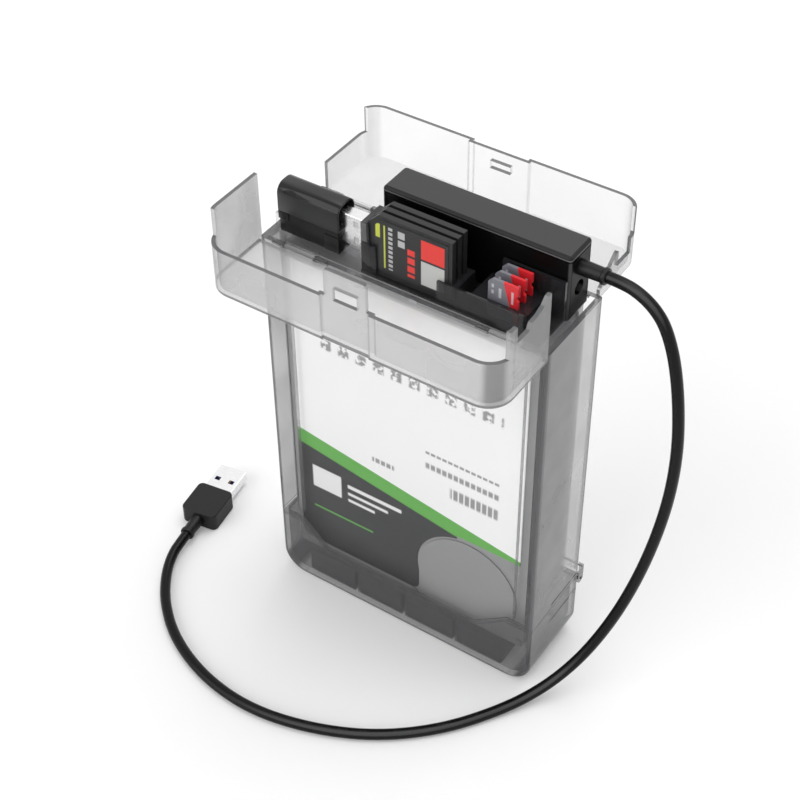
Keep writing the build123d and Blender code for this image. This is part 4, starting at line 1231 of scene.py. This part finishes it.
@dataclass
class CardSet:
    """The full-size and micro cards in the rack."""

    count: int = 3
    card_left: float = -14.0
    card_back: float = -11.6
    card_foot: float = 164.2
    pitch: float = 3.35
    contact_length: float = 3.2
    contact_insets: tuple[float, ...] = (1.0,) * 8 + (2.4,)
    contact_foot: float = 0.95
    contact_width: float = 1.5
    contact_pitch: float = 2.35
    tab_span: Span = (-16.3, -10.6)
    tab_front: float = -14.75
    tab_thickness: float = 0.7
    tab_rise: Span = (164.1, 175.6)

    def contacts(self, index: int, material: Material) -> None:
        """Adds the gold contacts on the back of a full-size card.

        Args:
            index: which card, from nought.
            material: the contacts' finish.
        """
        form = bmesh.new()
        back = self.card_back + index * self.pitch + MIDDLE_Y
        for row, inset in enumerate(self.contact_insets):
            low = self.card_foot + self.contact_foot + self.contact_pitch * row
            left = self.card_left + inset
            ends = (left, left + self.contact_length)
            cube(form, ends, (back - 0.02, back + 0.04), (low, low + self.contact_width))
        body = Body(f"sd_card_{index + 1}")
        finish_piece(form, f"card_contacts_{index + 1}", material, body)

    def tab(self, material: Material) -> None:
        """Adds the rack's low tab in front of the foremost card's corner.

        Args:
            material: the rack's finish.
        """
        form = bmesh.new()
        front = self.tab_front + MIDDLE_Y
        cube(form, self.tab_span, (front, front + self.tab_thickness), self.tab_rise)
        soften(form, form.edges[:], 0.15)
        finish_piece(form, "card_rack_tab", material, Body.CASE)

    def build(self) -> None:
        """Finishes the cards and adds their contacts and the rack's tab."""
        finishes = {
            "sd_card": Moulded("card_shell", (0.02, 0.02, 0.021), shine=0.35),
            "sd_label": CardLabel(),
            "sd_lock": Moulded("card_lock", (0.35, 0.35, 0.37)),
            "micro_card": MicroPrint(),
        }
        for kind, finish in finishes.items():
            dress(finish, *(f"{kind}_{index + 1}" for index in range(self.count)))
        gold = BareMetal("card_gold", GOLD, 0.24).make()
        for index in range(self.count):
            self.contacts(index, gold)
        self.tab(bpy.data.materials["smoke_rack"])


@dataclass
class MemoryStick:
    """The memory stick that lies in the tray, with a hood over a lower tub."""

    left: float = -51.7
    right: float = -27.0
    front: float = -12.3
    back: float = -2.7
    foot: float = 164.15
    split: float = 172.4
    top: float = 182.8
    top_radius: float = 3.7
    inset: float = 0.35
    hood_wall: float = 0.8
    hood_depth: float = 4.0
    # The length and height of the tub's two full-width ends.
    nose: Span = (4.3, 3.1)
    heel: Span = (6.0, 6.2)
    edge_radius: float = 0.22

    def build(self) -> None:
        """Makes the stick's shell and finishes its tongue."""
        y0, y1 = self.front + MIDDLE_Y, self.back + MIDDLE_Y
        form = bmesh.new()
        hood = cube(form, (self.left, self.right), (y0, y1), (self.split, self.top))
        long_tops = [
            edge for edge in form.edges
            if all(vert in hood and vert.co.z > (self.top - 0.1) * MM for vert in edge.verts)
            and abs(edge.verts[0].co.x - edge.verts[1].co.x) > 5 * MM
        ]
        soften(form, long_tops, self.top_radius, 8)
        open_end = [face for face in form.faces if face.calc_center_median().x > (self.right - 0.1) * MM]
        bmesh.ops.inset_region(form, faces=open_end, thickness=self.hood_wall * MM, use_even_offset=True)
        bmesh.ops.inset_region(form, faces=open_end, thickness=0.05 * MM, depth=-self.hood_depth * MM)
        inner = (y0 + self.inset, y1 - self.inset)
        cube(form, (self.left + self.inset, self.right - self.inset), inner, (self.foot, self.split))
        length, height = self.nose
        cube(form, (self.left, self.left + length), (y0, y1), (self.split - height, self.split))
        length, height = self.heel
        cube(form, (self.right - length, self.right), (y0, y1), (self.foot, self.foot + height))
        soften(form, sharp_edges(form), self.edge_radius)
        shell = StickShell(split=self.split).make()
        piece = finish_piece(form, "memory_stick_shell", shell, Body.STICK)
        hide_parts("stick_housing")
        dress(Moulded("stick_tongue_white", (0.6, 0.6, 0.6)), "stick_tongue")


def main() -> None:
    """Builds every sub-assembly in order."""
    logging.basicConfig(level=logging.INFO)
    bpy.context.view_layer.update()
    for part in (Studio(), UsbLead(), ClearBox(), DriveUnit(), AdapterUnit(), CardSet(), MemoryStick()):
        part.build()
        log.info("%s done", type(part).__name__)


if __name__ == "__main__":
    main()
